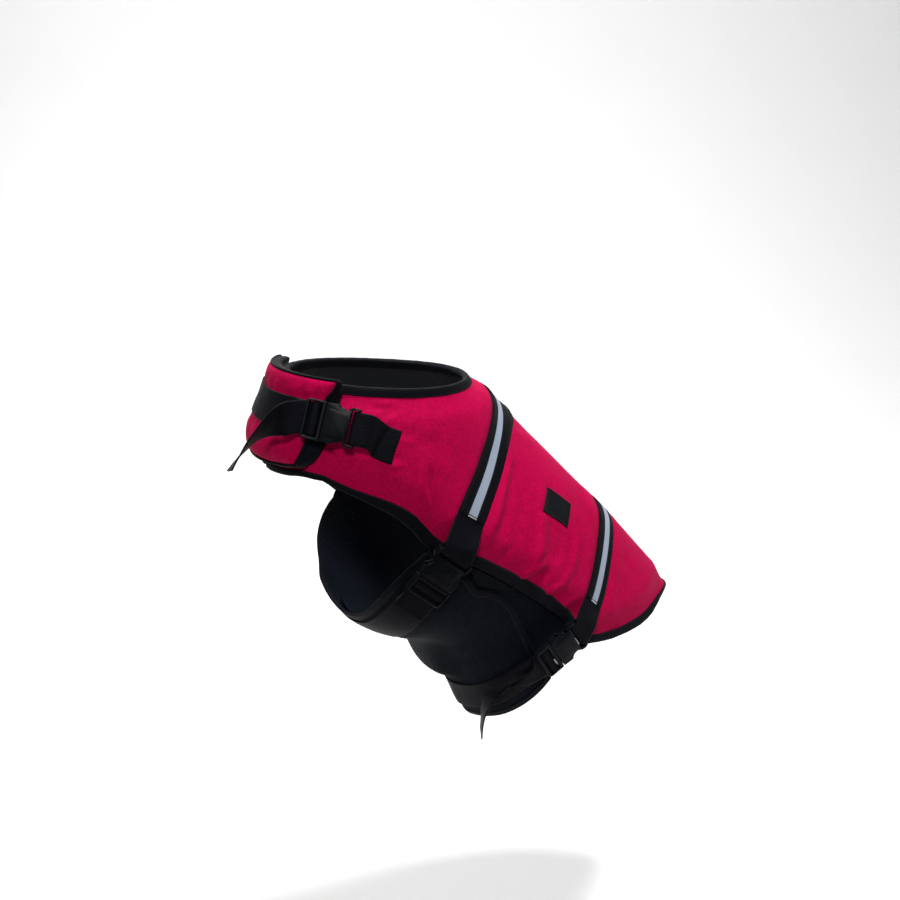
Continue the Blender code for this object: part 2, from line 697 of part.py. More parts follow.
def make_buckle(name, width, place):
    """Side-release buckle: the socket with its open mouth, and the latch with its ladder."""
    w = width / 2
    look = (PLASTIC, 0.42)
    side = [(0.0, w + 1.5), (2.0, w + 3.2)]
    dip = arc(14.5, w + 3.2, 7.5, 4.2, 180, 360, 9)
    mouth = [(30.0, w + 3.1), (FEMALE, w + 2.6)]
    upper = side + dip + mouth
    lower = [(x, -y) for x, y in reversed(upper)]
    h = HALF_THICK
    levels = [(-h, 1.0), (-h + 1.2, 0.0), (h - 1.2, 0.0), (h, 1.0)]
    body = prism(name + "_body", (upper + lower)[::-1], levels, look)
    cuts = [(4.0, 8.6, -w - 0.6, w + 0.6, -9, 9),
            (11.5, 50.0, -w - 0.9, w + 0.9, -2.9, 2.9),
            (-5.0, 4.3, -w - 0.6, w + 0.6, -20, -1.7),
            (-5.0, 4.3, -w - 0.6, w + 0.6, 1.7, 20)]
    for cut in cuts:
        combine(body, box("cut", *cut, look), "DIFFERENCE")
    finish(body, name + "_socket", place)

    rail = w + 3.1
    bars = [
        (FEMALE + 0.4, 39.4, -rail, rail, -4.4, 4.4),
        (38.4, BUCKLE, w + 0.8, rail - 0.2, -3.9, 3.9),
        (38.4, BUCKLE, -rail + 0.2, -w - 0.8, -3.9, 3.9),
        (BUCKLE - 3.4, BUCKLE - 0.1, -w - 1.8, w + 1.8, 0.6, 4.2),
        (44.4, 46.9, -w - 1.9, w + 1.9, -1.5, 1.5),
        (14.0, 36.4, -2.2, 2.2, -2.3, 2.3),
        (13.0, 36.3, w - 5.6, w - 1.6, -2.35, 2.35),
        (13.0, 36.3, -w + 1.6, -w + 5.6, -2.35, 2.35),
        (12.5, 20.5, w - 3.0, w + 0.3, -2.4, 2.4),
        (12.5, 20.5, -w - 0.3, -w + 3.0, -2.4, 2.4),
    ]
    latch = box(name + "_bars", *bars[0], look)
    for bar in bars[1:]:
        combine(latch, box("bar", *bar, look), "UNION")
    finish(latch, name + "_latch", place)


def local_path(place, points):
    origin, ax, ay, az = place
    return [origin + ax * x + az * z for x, z in points]


SOCKET_WRAP = ((-13.0, 1.1), (-2.0, 2.95), (4.2, 2.95), (6.3, 1.3), (6.3, -1.3), (4.2, -2.95),
               (-2.0, -2.95), (-10.0, -1.2))
LADDER_WRAP = ((BUCKLE + 6.0, -3.9), (51.8, -3.5), (43.7, -3.5), (41.5, -1.3), (41.5, 1.3),
               (43.5, 2.9), (47.8, 2.9), (49.8, 1.1), (51.0, -0.4), (52.8, -0.85),
               (BUCKLE + 1.5, -0.9))
SHORT_TAIL = ((BUCKLE + 8.0, -1.3), (BUCKLE + 22.0, -1.9))

REAR_BUCKLE = buckle_frame((168.3, 91.9, 18.5), (179.3, 115.1, 14.5), 1.0)
FRONT_BUCKLE = buckle_frame((370.1, 101.6, 18.5), (364.2, 122.7, 14.5), 1.0)
CHEST_BUCKLE = buckle_frame((505.8, 123.4, 26.2), (513.3, 147.95, 34.0), CHEST_SHORT)


# ------------------------------------------------------------------ webbing
LAID = 0.6 + WEB / 2      # middle of webbing above what it lies on
BIND_TOP = PANEL_IN + PANEL_EDGE + LIP_GAP + TAPE


def line_at(line, around):
    around = np.asarray(around, float)
    return table(line, np.minimum(np.abs(around), 360.0 - np.abs(around)))


def panel_cover(along, around):
    return float(panel_out(along, around)[0]) + LAID


def joined(name, pieces, width_look):
    rows = np.concatenate([p[0] for p in pieces])
    faces = np.concatenate([p[1] for p in pieces])
    web(name, rows, faces, WEB, width_look)


def run_to(place, points, tail=(), tail_side=()):
    """Rows through a buckle along its local path, then along a free tail."""
    origin, ax, ay, az = place
    centre = local_path(place, points) + [np.array(p) for p in tail]
    turn = np.sign(np.dot(ay, tail_side[0])) if len(tail) else 1.0
    side = [ay] * len(points) + [turn * np.array(p) for p in tail_side]
    return centre, side


def lead_row(place, shift, slant):
    """Middle and width direction of webbing that nears the socket's bar from one side."""
    origin, ax, ay, az = place
    tilt = np.radians(slant)
    return origin - ax * 9.5 - ay * shift + az * 1.6, ay * np.cos(tilt) - ax * np.sin(tilt)


def girth_strap(name, line, width, place, hem, shift, slant):
    """Webbing over the back: sewn end low on the right, fold round the socket on the left."""
    low = BELLY_IN + MESH + 2 * WEB + 1.9 + WEB / 2
    over = BIND_TOP + LAID
    turns = list(np.linspace(-(hem + 18), -(hem - 12), 11)) + list(np.linspace(-(hem - 15), hem - 14, 27))

    def cover(s, r, i):
        past = abs(r) - table(SIDE_HEM, s)
        if past > 2.0:
            return over + 0.5 - (over + 0.5 - low) * smooth((past - 2.0) / 6.5)
        lip = over + 0.5 if past > -6.0 else 0.0
        return max(panel_cover(s, r), lip)

    laid = laid_rows([(line_at(line, a), a) for a in turns], width, cover)
    first, way = lead_row(place, shift, slant)
    centre, side = run_to(place, SOCKET_WRAP[1:])
    free = free_rows([first] + centre, -np.array([way] + side), width)
    joined(name, [laid, free], (BLACK, 0.75))


def belly_strap(name, line, width, place, hem, tail, tail_side):
    """Webbing under the belly: sewn end on the right, ladder fold and tail on the left."""
    turns = np.linspace(-(hem + 7), -228.0, 30)

    def cover(s, r, i):
        return float(flap_in(s, r)) + MESH + LAID + 0.3

    laid = laid_rows([(line_at(line, a), a) for a in turns], width, cover)
    path = LADDER_WRAP if len(tail) else LADDER_WRAP + SHORT_TAIL
    centre, side = run_to(place, path, tail, tail_side)
    free = free_rows(centre, side, width)
    joined(name, [laid, free], (BLACK, 0.75))


def make_chest_web():
    corner = PAD_EDGE + GAP + TAPE + LAID + 0.8
    run = ((-104.0, 0.0), (-109.0, 0.0), (-114.0, 14.9), (-119.0, 15.8), (-126.0, 18.6), (-133.0, 22.6),
           (-139.0, 25.4), (-143.0, corner + 0.9), (-148.0, corner + 0.3), (-153.0, 0.0))
    turns = [a for a, _ in run] + list(np.linspace(-159.0, -198.0, 8)) + [-203.0]
    outs = [o for _, o in run] + [0.0] * 9
    lift = [0.4] * len(run) + [0.2] * 8 + [1.0]

    def cover(s, r, i):
        if abs(r) < 135:
            return max(outs[i], panel_cover(s, r))
        if abs(r) < 142:
            return outs[i]
        return max(outs[i], float(table(PAD_PRESSED, s)) + LAID + lift[i])

    laid = laid_rows([(line_at(CHEST_LINE, a), a) for a in turns], CHEST_WEB, cover)
    centre, side = run_to(CHEST_BUCKLE, LADDER_WRAP,
                          [r[:3] for r in CHEST_TAIL], [r[3:] for r in CHEST_TAIL])
    free = free_rows(centre, side, CHEST_WEB)
    joined("chest_strap", [laid, free], (BLACK, 0.75))

    laid = laid_rows([(line_at(CHEST_LINE, a), a) for a in (104.3, 108.0, 112.0)], CHEST_WEB,
                     lambda s, r, i: panel_cover(s, r))
    centre, side = run_to(CHEST_BUCKLE, SOCKET_WRAP)
    free = free_rows(centre, -np.array(side), CHEST_WEB)
    joined("shoulder_tab", [laid, free], (BLACK, 0.75))


def make_reflect(name, line, width, reach):
    turns = np.linspace(-reach, reach, 30)

    def cover(s, r, i):
        return panel_cover(s, r) + WEB / 2 + 0.5 + REFLECT_THICK / 2

    rows, faces = laid_rows([(line_at(line, a), a) for a in turns], width, cover)
    web(name, rows, faces, REFLECT_THICK, (SILVER, 0.35))


def make_small():
    corners = {(0, 0): (285, 47), (1, 0): (242.2, 44.3), (0, 1): (285.4, 61.4), (1, 1): (242.8, 58.9)}
    places = []
    for v in np.linspace(0, 1, 4):
        for u in np.linspace(0, 1, 4):
            s = sum(corners[i, j][0] * (u if i else 1 - u) * (v if j else 1 - v) for i, j in corners)
            r = sum(corners[i, j][1] * (u if i else 1 - u) * (v if j else 1 - v) for i, j in corners)
            places.append((s, r))
    places = np.array(places)
    s, r = places[:, 0], places[:, 1]
    base = panel_out(s, r) + 0.4
    slab("label_patch", at(s, r, base), at(s, r, base + 1.0), grid_quads(4, 4), (BLACK, 0.6))

    places = []
    for v in (0.0, 0.5, 1.0):
        for u in np.linspace(0, 1, 5):
            s0 = 341 + (272 - 341) * u
            s1 = 317 + (273 - 317) * u
            top = table(SIDE_HEM, s0) + 1.2
            low = min(108.3 + (101.5 - 108.3) * u, table(FLAP_TOP, s1) - 1.7)
            places.append((s0 + (s1 - s0) * v, top + (low - top) * v))
    places = np.array(places)
    s, r = places[:, 0], places[:, 1]
    base = np.full(len(s), BELLY_IN + MESH + 0.4)
    slab("side_patch", at(s, r, base), at(s, r, base + 1.1), grid_quads(3, 5), (BLACK, 0.65))

    edge = REAR_HEM[0][1]
    path = ((1.9, 8.0), (4.6, 8.6), (6.8, 7.0), (7.4, 4.2), (6.8, 1.6), (4.6, 0.2), (1.9, 0.8))
    centre = [at(edge - over, 0.0, out) for over, out in path]
    side = [np.array([0.0, 1.0, 0.0])] * len(path)
    rows, faces = free_rows(centre, side, 8.0)
    web("rear_loop", rows, faces, 1.0, (BLACK, 0.7))


clear()
make_back()
make_belly()
make_chest()
make_buckle("rear_buckle", REAR_WEB, REAR_BUCKLE)
make_buckle("front_buckle", FRONT_WEB, FRONT_BUCKLE)
make_buckle("chest_buckle", CHEST_WEB, CHEST_BUCKLE)
girth_strap("rear_strap", REAR_LINE, REAR_WEB, REAR_BUCKLE, 91.0, 3.4, 18.0)
girth_strap("front_strap", FRONT_LINE, FRONT_WEB, FRONT_BUCKLE, 102.0, 2.0, 10.0)
belly_strap("rear_belly_strap", REAR_LINE, REAR_WEB, REAR_BUCKLE, 91.0,
            [r[:3] for r in REAR_TAIL], [r[3:] for r in REAR_TAIL])
belly_strap("front_belly_strap", FRONT_LINE, FRONT_WEB, FRONT_BUCKLE, 102.0, (), ())
make_chest_web()
make_reflect("rear_reflective_tape", REAR_LINE, REAR_REFLECT, 76.0)
make_reflect("front_reflective_tape", FRONT_LINE, FRONT_REFLECT, 85.5)
make_small()
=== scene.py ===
"""Dog life jacket, worn shape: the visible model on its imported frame.

Cloth is made as patches on the wearer's body surface: every point is given by how far
along the back it is (mm from the tail end), how many degrees round from the spine
(left positive), and how many mm it stands off the coat. In the code s and r are the
first two of these."""
import math

import bmesh
import bpy
import numpy as np
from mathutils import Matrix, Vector, kdtree


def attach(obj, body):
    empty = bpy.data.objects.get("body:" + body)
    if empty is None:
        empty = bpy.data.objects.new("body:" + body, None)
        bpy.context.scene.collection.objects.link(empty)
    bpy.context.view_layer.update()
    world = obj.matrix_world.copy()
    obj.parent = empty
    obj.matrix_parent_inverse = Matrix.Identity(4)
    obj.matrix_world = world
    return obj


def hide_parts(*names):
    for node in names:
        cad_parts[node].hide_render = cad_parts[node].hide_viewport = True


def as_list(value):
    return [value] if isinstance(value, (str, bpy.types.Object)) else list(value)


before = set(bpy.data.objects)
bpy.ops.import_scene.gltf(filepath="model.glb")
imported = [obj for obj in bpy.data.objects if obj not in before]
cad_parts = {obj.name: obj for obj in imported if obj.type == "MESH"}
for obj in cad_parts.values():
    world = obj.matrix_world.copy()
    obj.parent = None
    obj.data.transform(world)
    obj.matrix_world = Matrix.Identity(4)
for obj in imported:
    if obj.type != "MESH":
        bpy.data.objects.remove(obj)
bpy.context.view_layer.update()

MM = 0.001

# ------------------------------------------------------------------ sizes, mm
PANEL_IN = 2.0
PANEL_EDGE = 5.0
PANEL_FULL = 11.5
WING_FULL = 8.0
LIP_GAP = 0.15
TAPE = 1.0
NECK_TAPE = 7.5
BELLY_IN = -1.6
MESH = 1.7
FLAP_LIFT = 3.2
FLAP_SAG = 4.6
TUCK = 11.0
BULGE = 9.0
FLAP_TAPE = 6.0
FRONT_WEB = 37.5
REAR_WEB = 31.0
CHEST_WEB = 33.0
WEB = 1.6
# reflective ribbons: whole width, width of the bright strip
FRONT_REFLECT = (33.0, 11.6)
REAR_REFLECT = (27.0, 9.6)
REFLECT_THICK = 0.6
# how far webbing lies off what is under it
GIRTH_LAID = 0.2
CHEST_LAID = 0.25
BELLY_LAID = 0.35
# chest float
PAD_IN = 10.8
PAD_EDGE = 22.0
PAD_MIDDLE = 515.0
PAD_LOW = 484.0
PAD_HIGH = 543.4
# mm of cloth to one mm along, and to one degree round, at the float and on the trunk
FRONT_STRETCH = 1.42
FRONT_DEGREE = 1.55
DEGREE = 2.02
# places along the back, and the degrees at which the wings end
NECK = 540.0
JOIN = 397.0
WING_START = 141.0
LEFT_WING_END = 184.5
RIGHT_WING_END = 170.5
HELD_AT = 300.0
WING_ROOT = 473.0
HEM_CORNER = 92.0
SIDE_FROM = 150.0
ARM_FROM = 385.0
# degrees of the middle underneath, and of the belly halves' start under the hems
UNDERSIDE = 180.0
BELLY_START = 78.0
LABEL_WIDE = 39.0
LABEL_HIGH = 30.0

BODY = np.array([
    # along  back_x  back_z  belly_x  belly_z  half   egg
    (-60.0, 346.0, -264.0, 160.0, -445.0, 90.0, 0.28),
    (0.0, 303.0, -220.0, 112.0, -394.0, 97.0, 0.28),
    (155.0, 193.0, -104.0, 5.0, -292.0, 106.0, 0.28),
    (257.0, 121.0, -33.0, -42.0, -210.0, 106.0, 0.28),
    (359.0, 51.0, 37.0, -132.0, -158.0, 106.0, 0.28),
    (473.0, 24.0, 66.0, -205.0, 6.0, 94.0, 0.12),
    (537.0, 6.0, 84.0, -180.0, 100.0, 80.0, 0.05),
    (570.0, -6.0, 98.0, -170.0, 138.0, 76.0, 0.0),
])

# Outlines that give degrees round from the spine for mm along. FLAP_TOP is on the left.
SIDE_HEM = ((142, 92), (160, 91.4), (186, 90.9), (210, 93.8), (234, 96.3), (255, 98.1),
            (276, 98.9), (294, 98.5), (311, 98.1), (328, 98), (344, 98.9), (367, 102),
            (386, 106), (397, 107.5), (415, 109), (432, 113), (450, 121.5), (463, 131),
            (473, 141))
FLAP_TOP = ((141, 117), (152, 114.5), (170, 114.2), (198, 113.8), (216, 112.9), (232, 111.8),
            (248, 110.1), (264, 108), (277, 106.8), (292, 106.9), (303, 107.4), (311, 108.4),
            (323, 106.6), (338, 104.9), (347, 105.2), (360, 106.3), (372, 108), (384, 110.5))

# Width of the binding on the panel's face, and at the armholes of a black band that is partly binding and
# partly painted shade: for mm along at the sides and armholes, for degrees round at the rear hem.
SIDE_TAPE = ((170, 7.5), (190, 9.4), (215, 11.0), (250, 11.4), (285, 10.4), (330, 9.4), (385, 9.4))
# At the armholes the black tape is made wider than the binding: the band is partly binding and partly
# painted shade where the panel curls under.
ARM_TAPE_AND_SHADE = ((385, 9.4), (400, 12.5), (412, 12.5), (428, 10.0), (440, 9.0), (452, 6.0), (464, 4.5))
REAR_LIP = ((0, 2.2), (24, 2.4), (38, 4.5), (50, 7.5), (92, 7.5))

# Outlines and middle lines that give mm along for degrees round from the spine.
REAR_LINE = ((-20, 163), (0, 161), (20, 163), (40, 166.5), (60, 165.8), (70, 163.5), (77, 162.8),
             (86, 164.8), (92, 168.3), (103, 173.6), (115, 179.2), (121, 181), (130, 180),
             (150, 176), (180, 174), (210, 176))
FRONT_LINE = ((-18, 403), (0, 404), (18, 402.5), (35, 398.8), (50, 393), (60, 387.8), (68, 384.2),
              (79, 379.8), (86, 376.3), (95, 371.8), (101.6, 369.2), (108, 366.0), (114, 362.8),
              (120, 359.8), (131, 357.1), (140, 352.3), (150, 345.5), (165, 336.5), (180, 333),
              (210, 345.5))
CHEST_LINE = ((100, 482), (104.3, 486.4), (123.4, 505.8), (136, 511.5), (150, 514.5), (165, 515.5),
              (180, 515.5), (210, 511.5))
REAR_HEM = ((-10, 8.5), (0, 4.5), (10, 8.5), (20, 17.5), (26, 23.5), (38.7, 36), (45, 41.5), (52.5, 48.5),
            (58, 55.5), (64, 65.5), (70, 78), (76, 92.5), (81, 106), (85.3, 119.5),
            (88, 129), (92, 142))
WING_LOW = ((141, 473), (152, 476.5), (165, 476.5), (190, 476))
LEFT_REAR = ((78, 166), (92, 164), (110, 158), (150, 150), (200, 149))
LEFT_FRONT = ((78, 384), (92, 388), (105, 386), (120, 378), (140, 364), (170, 350), (200, 346))
FLAP_REAR = ((78, 162), (92, 158), (112, 150), (118, 147), (125, 145), (136, 143),
             (148, 141), (160, 140), (180, 139), (200, 140))
FLAP_FRONT = ((78, 386), (92, 388), (104, 387.2), (110, 387.4), (120, 386.8), (130, 383.6),
              (140, 378.5), (150, 371.5), (165, 362.5), (180, 359), (200, 362.5))

# Free tails: the middle of the webbing in mm and the direction across it.
CHEST_TAIL = (
    # x       y      z      wx     wy     wz
    (-309.4, -61.6, 78.0, 0.10, 0.10, 0.99),
    (-322.2, -60.4, 75.3, -0.12, -0.38, 0.91),
    (-332.2, -59.0, 69.4, -0.26, -0.66, 0.70),
    (-339.9, -56.6, 62.0, -0.32, -0.79, 0.52),
    (-347.0, -53.8, 53.4, -0.32, -0.84, 0.44),
    (-353.8, -50.6, 43.6, -0.27, -0.90, 0.35),
    (-358.8, -47.8, 35.7, -0.23, -0.92, 0.32),
    (-362.3, -45.6, 29.1, -0.19, -0.94, 0.29),
)
REAR_TAIL = (
    (-55.4, -119.4, -226.4, -0.06, -0.22, 0.97),
    (-64.0, -115.6, -232.2, 0.64, -0.34, 0.69),
    (-75.0, -107.8, -240.6, 0.55, -0.50, 0.67),
    (-84.0, -97.6, -250.6, 0.28, -0.77, 0.57),
    (-91.0, -88.5, -262.5, -0.10, -0.95, 0.30),
    (-95.5, -84.0, -276.0, -0.36, -0.92, 0.14),
    (-97.5, -83.0, -290.0, -0.46, -0.88, 0.06),
    (-98.5, -83.0, -304.5, -0.48, -0.87, 0.02),
)


# ------------------------------------------------------------------ curves and the body
def smooth(x):
    x = np.clip(x, 0.0, 1.0)
    return x * x * (3.0 - 2.0 * x)


def hermite(xs, ys, x):
    """Smooth curve through rows (xs, ys), read at x."""
    x = np.clip(np.asarray(x, float), xs[0], xs[-1])
    i = np.clip(np.searchsorted(xs, x, side="right") - 1, 0, len(xs) - 2)
    h = np.diff(xs)
    d = np.diff(ys, axis=0) / h[:, None]
    m = np.empty_like(ys)
    m[0] = d[0]
    m[-1] = d[-1]
    m[1:-1] = (h[:-1, None] * d[1:] + h[1:, None] * d[:-1]) / (h[:-1] + h[1:])[:, None]
    step = h[i][..., None]
    u = ((x - xs[i]) / h[i])[..., None]
    return ((2 * u**3 - 3 * u**2 + 1) * ys[i] + (u**3 - 2 * u**2 + u) * step * m[i]
            + (-2 * u**3 + 3 * u**2) * ys[i + 1] + (u**3 - u**2) * step * m[i + 1])


def table(rows, x):
    rows = np.array(rows, float)
    return hermite(rows[:, 0], rows[:, 1:2], x)[..., 0]


def unit(v):
    return v / np.linalg.norm(v, axis=-1, keepdims=True)


def paired(along, around):
    return np.broadcast_arrays(np.asarray(along, float), np.asarray(around, float))


def line_at(line, around):
    """A middle line or outline read at any turn, the same on both sides."""
    turn = np.abs(np.asarray(around, float))
    return table(line, np.minimum(turn, 360.0 - turn))


def coat(along, around):
    along, around = paired(along, around)
    bx, bz, vx, vz, half, egg = np.moveaxis(hermite(BODY[:, 0], BODY[:, 1:], along), -1, 0)
    c = np.cos(np.radians(around))
    sn = np.sin(np.radians(around))
    return np.stack([(bx + vx) / 2 + (bx - vx) / 2 * c,
                     -half * sn * (1 - egg * c),
                     (bz + vz) / 2 + (bz - vz) / 2 * c], -1)


def slopes(along, around):
    e = 0.5
    return (coat(along + e, around) - coat(along - e, around),
            coat(along, around + e) - coat(along, around - e))


def outward(along, around):
    a, b = slopes(*paired(along, around))
    return unit(np.cross(a, b))


# The middle of the back, where the wearer carries the jacket, is the origin.
HELD = coat(HELD_AT, 0.0) + outward(HELD_AT, 0.0) * PANEL_IN


def at(along, around, out):
    out = np.asarray(out, float)
    return coat(along, around) + outward(along, around) * out[..., None] - HELD


def surface_step(along, around, way):
    """(along, around) steps that move 1 mm along each direction in way."""
    a, b = slopes(along, around)
    aa = np.sum(a * a, -1)
    bb = np.sum(b * b, -1)
    ab = np.sum(a * b, -1)
    ea = np.sum(way * a, -1)
    eb = np.sum(way * b, -1)
    det = aa * bb - ab * ab
    return np.stack([(ea * bb - eb * ab) / det, (eb * aa - ea * ab) / det], -1)


def ripple(a, b, seed, scale):
    """Soft unevenness from -1 to 1 over two coordinates in mm, the same every run."""
    rng = np.random.default_rng(seed)
    total = np.zeros(np.broadcast(a, b).shape)
    for _ in range(6):
        turn = rng.uniform(0, 2 * math.pi)
        size = scale * rng.uniform(0.6, 1.7)
        shift = rng.uniform(0, 2 * math.pi)
        total += np.sin((a * math.cos(turn) + b * math.sin(turn)) * 2 * math.pi / size + shift)
    return total / 3.4


# ------------------------------------------------------------------ materials
class Nodes:
    """A material's node tree with short calls, which take sockets or plain numbers."""

    def __init__(self, name):
        self.mat = bpy.data.materials.new(name)
        self.mat.use_nodes = True
        self.tree = self.mat.node_tree
        self.shader = self.tree.nodes["Principled BSDF"]
        self.coords = self.add("ShaderNodeTexCoord")

    def add(self, kind, **values):
        node = self.tree.nodes.new(kind)
        for key, value in values.items():
            setattr(node, key, value)
        return node

    def link(self, a, b):
        self.tree.links.new(a, b)

    def math(self, how, *values):
        node = self.add("ShaderNodeMath", operation=how)
        for socket, value in zip(node.inputs, values):
            if isinstance(value, (int, float)):
                socket.default_value = value
            else:
                self.link(value, socket)
        return node.outputs[0]

    def plus(self, a, b):
        return self.math("ADD", a, b)

    def minus(self, a, b):
        return self.math("SUBTRACT", a, b)

    def times(self, a, b):
        return self.math("MULTIPLY", a, b)

    def scaled(self, a, by, start):
        return self.math("MULTIPLY_ADD", a, by, start)

    def inverse(self, a):
        return self.math("SUBTRACT", 1.0, a)

    def absolute(self, a):
        return self.math("ABSOLUTE", a)

    def zigzag(self, a, size):
        return self.math("PINGPONG", a, size)

    def wave(self, coord, pitch):
        """Sine from 0 to 1 along a coordinate in mm."""
        return self.scaled(self.math("SINE", self.times(coord, 2 * math.pi / pitch)), 0.5, 0.5)

    def noise(self, scale, detail=2.0, rough=0.5):
        node = self.add("ShaderNodeTexNoise")
        node.inputs["Scale"].default_value = scale
        node.inputs["Detail"].default_value = detail
        node.inputs["Roughness"].default_value = rough
        self.link(self.coords.outputs["Object"], node.inputs["Vector"])
        return node.outputs["Fac"]

    def uv(self):
        """(u, v) of the cloth in mm."""
        flat = self.add("ShaderNodeSeparateXYZ")
        self.link(self.coords.outputs["UV"], flat.inputs[0])
        return flat.outputs[0], flat.outputs[1]

    def mix(self, fac, a, b):
        """Colour between a and b, each a socket or (red, green, blue)."""
        node = self.add("ShaderNodeMix", data_type="RGBA")
        for key, value in (("Factor", fac), ("A", a), ("B", b)):
            if isinstance(value, tuple):
                node.inputs[key].default_value = (*value, 1.0)
            else:
                self.link(value, node.inputs[key])
        return node.outputs["Result"]

    def ramp(self, fac, low, high):
        node = self.add("ShaderNodeMapRange", interpolation_type="SMOOTHSTEP")
        self.link(fac, node.inputs["Value"])
        node.inputs["From Min"].default_value = low
        node.inputs["From Max"].default_value = high
        return node.outputs["Result"]

    def bump(self, height, distance, strength, after=None):
        node = self.add("ShaderNodeBump")
        node.inputs["Strength"].default_value = strength
        node.inputs["Distance"].default_value = distance
        self.link(height, node.inputs["Height"])
        if after is not None:
            self.link(after, node.inputs["Normal"])
        self.link(node.outputs[0], self.shader.inputs["Normal"])
        return node.outputs[0]

    def colour(self, socket):
        self.link(socket, self.shader.inputs["Base Color"])

    def rough(self, grain, by, start):
        self.link(self.scaled(grain, by, start), self.shader.inputs["Roughness"])

    def shine(self, specular, sheen=0.0, sheen_rough=0.5):
        self.shader.inputs["Specular IOR Level"].default_value = specular
        self.shader.inputs["Sheen Weight"].default_value = sheen
        self.shader.inputs["Sheen Roughness"].default_value = sheen_rough


def oxford(name, light, dark, sheen):
    """Plain-woven oxford cloth: basket weave, faint slubs and a soft sheen."""
    n = Nodes(name)
    u, v = n.uv()
    warp = n.wave(u, 0.9)
    weft = n.wave(v, 0.9)
    weave = n.plus(n.times(warp, weft), n.times(n.inverse(warp), n.inverse(weft)))
    broad = n.noise(9.0, 3.0)
    fine = n.noise(420.0, 2.0, 0.7)
    slub = n.noise(95.0, 2.0, 0.6)
    tone = n.plus(n.plus(n.times(broad, 0.2), n.times(fine, 0.65)), n.times(slub, 0.15))
    base = n.mix(n.ramp(tone, 0.30, 0.70), dark, light)
    n.colour(n.mix(n.times(weave, 0.22), base, dark))
    n.rough(fine, 0.2, 0.6)
    n.shine(0.03, sheen, 0.45)
    n.shader.inputs["Sheen Tint"].default_value = (1.0, 0.25, 0.5, 1.0)
    n.bump(slub, 0.0006, 0.25, after=n.bump(weave, 0.00018, 0.5))
    return n.mat


def close_weave(name, grain, dark, light, rough, shine, pitch, depth):
    """Thin cloth in two near tones. depth is the weave's height in m."""
    n = Nodes(name)
    u, v = n.uv()
    fine = n.noise(*grain)
    n.colour(n.mix(fine, dark, light))
    n.rough(fine, *rough)
    n.shine(*shine)
    n.bump(n.times(n.wave(u, pitch), n.wave(v, pitch)), depth, 0.4)
    return n.mat


def webbing(name):
    """Black webbing: fine zigzag ribs across it and flat warp lines along it."""
    n = Nodes(name)
    u, v = n.uv()
    ribs = n.wave(n.plus(v, n.times(n.zigzag(u, 1.6), 0.45)), 1.25)
    fine = n.noise(500.0, 2.0, 0.7)
    height = n.plus(n.times(ribs, 0.7), n.times(n.wave(u, 3.2), 0.3))
    tone = n.plus(n.times(height, 0.6), n.times(fine, 0.4))
    n.colour(n.mix(n.ramp(tone, 0.25, 0.85), (0.0006, 0.0007, 0.0016), (0.0058, 0.0064, 0.0105)))
    n.rough(ribs, -0.12, 0.62)
    n.shine(0.06, 0.01, 0.4)
    n.bump(height, 0.0003, 0.6)
    return n.mat


def binding(name):
    """Folded tape: a fine rib along it and one row of stitches near its lip."""
    n = Nodes(name)
    u, v = n.uv()
    fine = n.noise(420.0, 2.0, 0.7)
    row = n.inverse(n.ramp(n.absolute(n.minus(u, 1.6)), 0.25, 0.55))
    stitch = n.times(row, n.ramp(n.zigzag(v, 1.5), 0.25, 0.45))
    base = n.mix(fine, (0.0010, 0.0012, 0.0024), (0.0048, 0.0054, 0.0086))
    n.colour(n.mix(stitch, base, (0.012, 0.013, 0.018)))
    n.rough(fine, 0.15, 0.58)
    n.shine(0.06, 0.01, 0.45)
    n.bump(n.plus(n.times(n.wave(u, 0.9), 0.25), stitch), 0.0003, 0.5)
    return n.mat


def spacer_mesh(name):
    """3-D mesh: staggered rows of small holes in a springy spacer fabric, with painted shade in the holes
    and a painted highlight on the ridges between them.
    """
    n = Nodes(name)
    u, v = n.uv()
    pitch = 2.3
    row_pitch = pitch * 0.87
    skew = n.add("ShaderNodeCombineXYZ")
    n.link(n.times(n.scaled(v, 0.5, u), 1 / pitch), skew.inputs[0])
    n.link(n.times(v, 1 / row_pitch), skew.inputs[1])
    cells = n.add("ShaderNodeTexVoronoi", feature="F1", voronoi_dimensions="2D")
    cells.inputs["Scale"].default_value = 1.0
    cells.inputs["Randomness"].default_value = 0.0
    n.link(skew.outputs[0], cells.inputs["Vector"])
    knit_height_and_painted_shade = n.ramp(cells.outputs["Distance"], 0.22, 0.5)
    fine = n.noise(600.0, 2.0, 0.7)
    broad = n.noise(14.0, 2.0)
    # colour: painted shade in the holes and a painted highlight on the ridges, under a random tone
    tone = n.times(n.times(knit_height_and_painted_shade, n.scaled(fine, 0.7, 0.5)), n.scaled(broad, 0.6, 0.6))
    n.colour(n.mix(tone, (0.0004, 0.0007, 0.0016), (0.0085, 0.0120, 0.0205)))
    n.rough(fine, 0.15, 0.6)
    n.shine(0.04)
    n.bump(n.plus(n.times(knit_height_and_painted_shade, 0.8), n.times(fine, 0.2)), 0.0007, 0.9)
    return n.mat


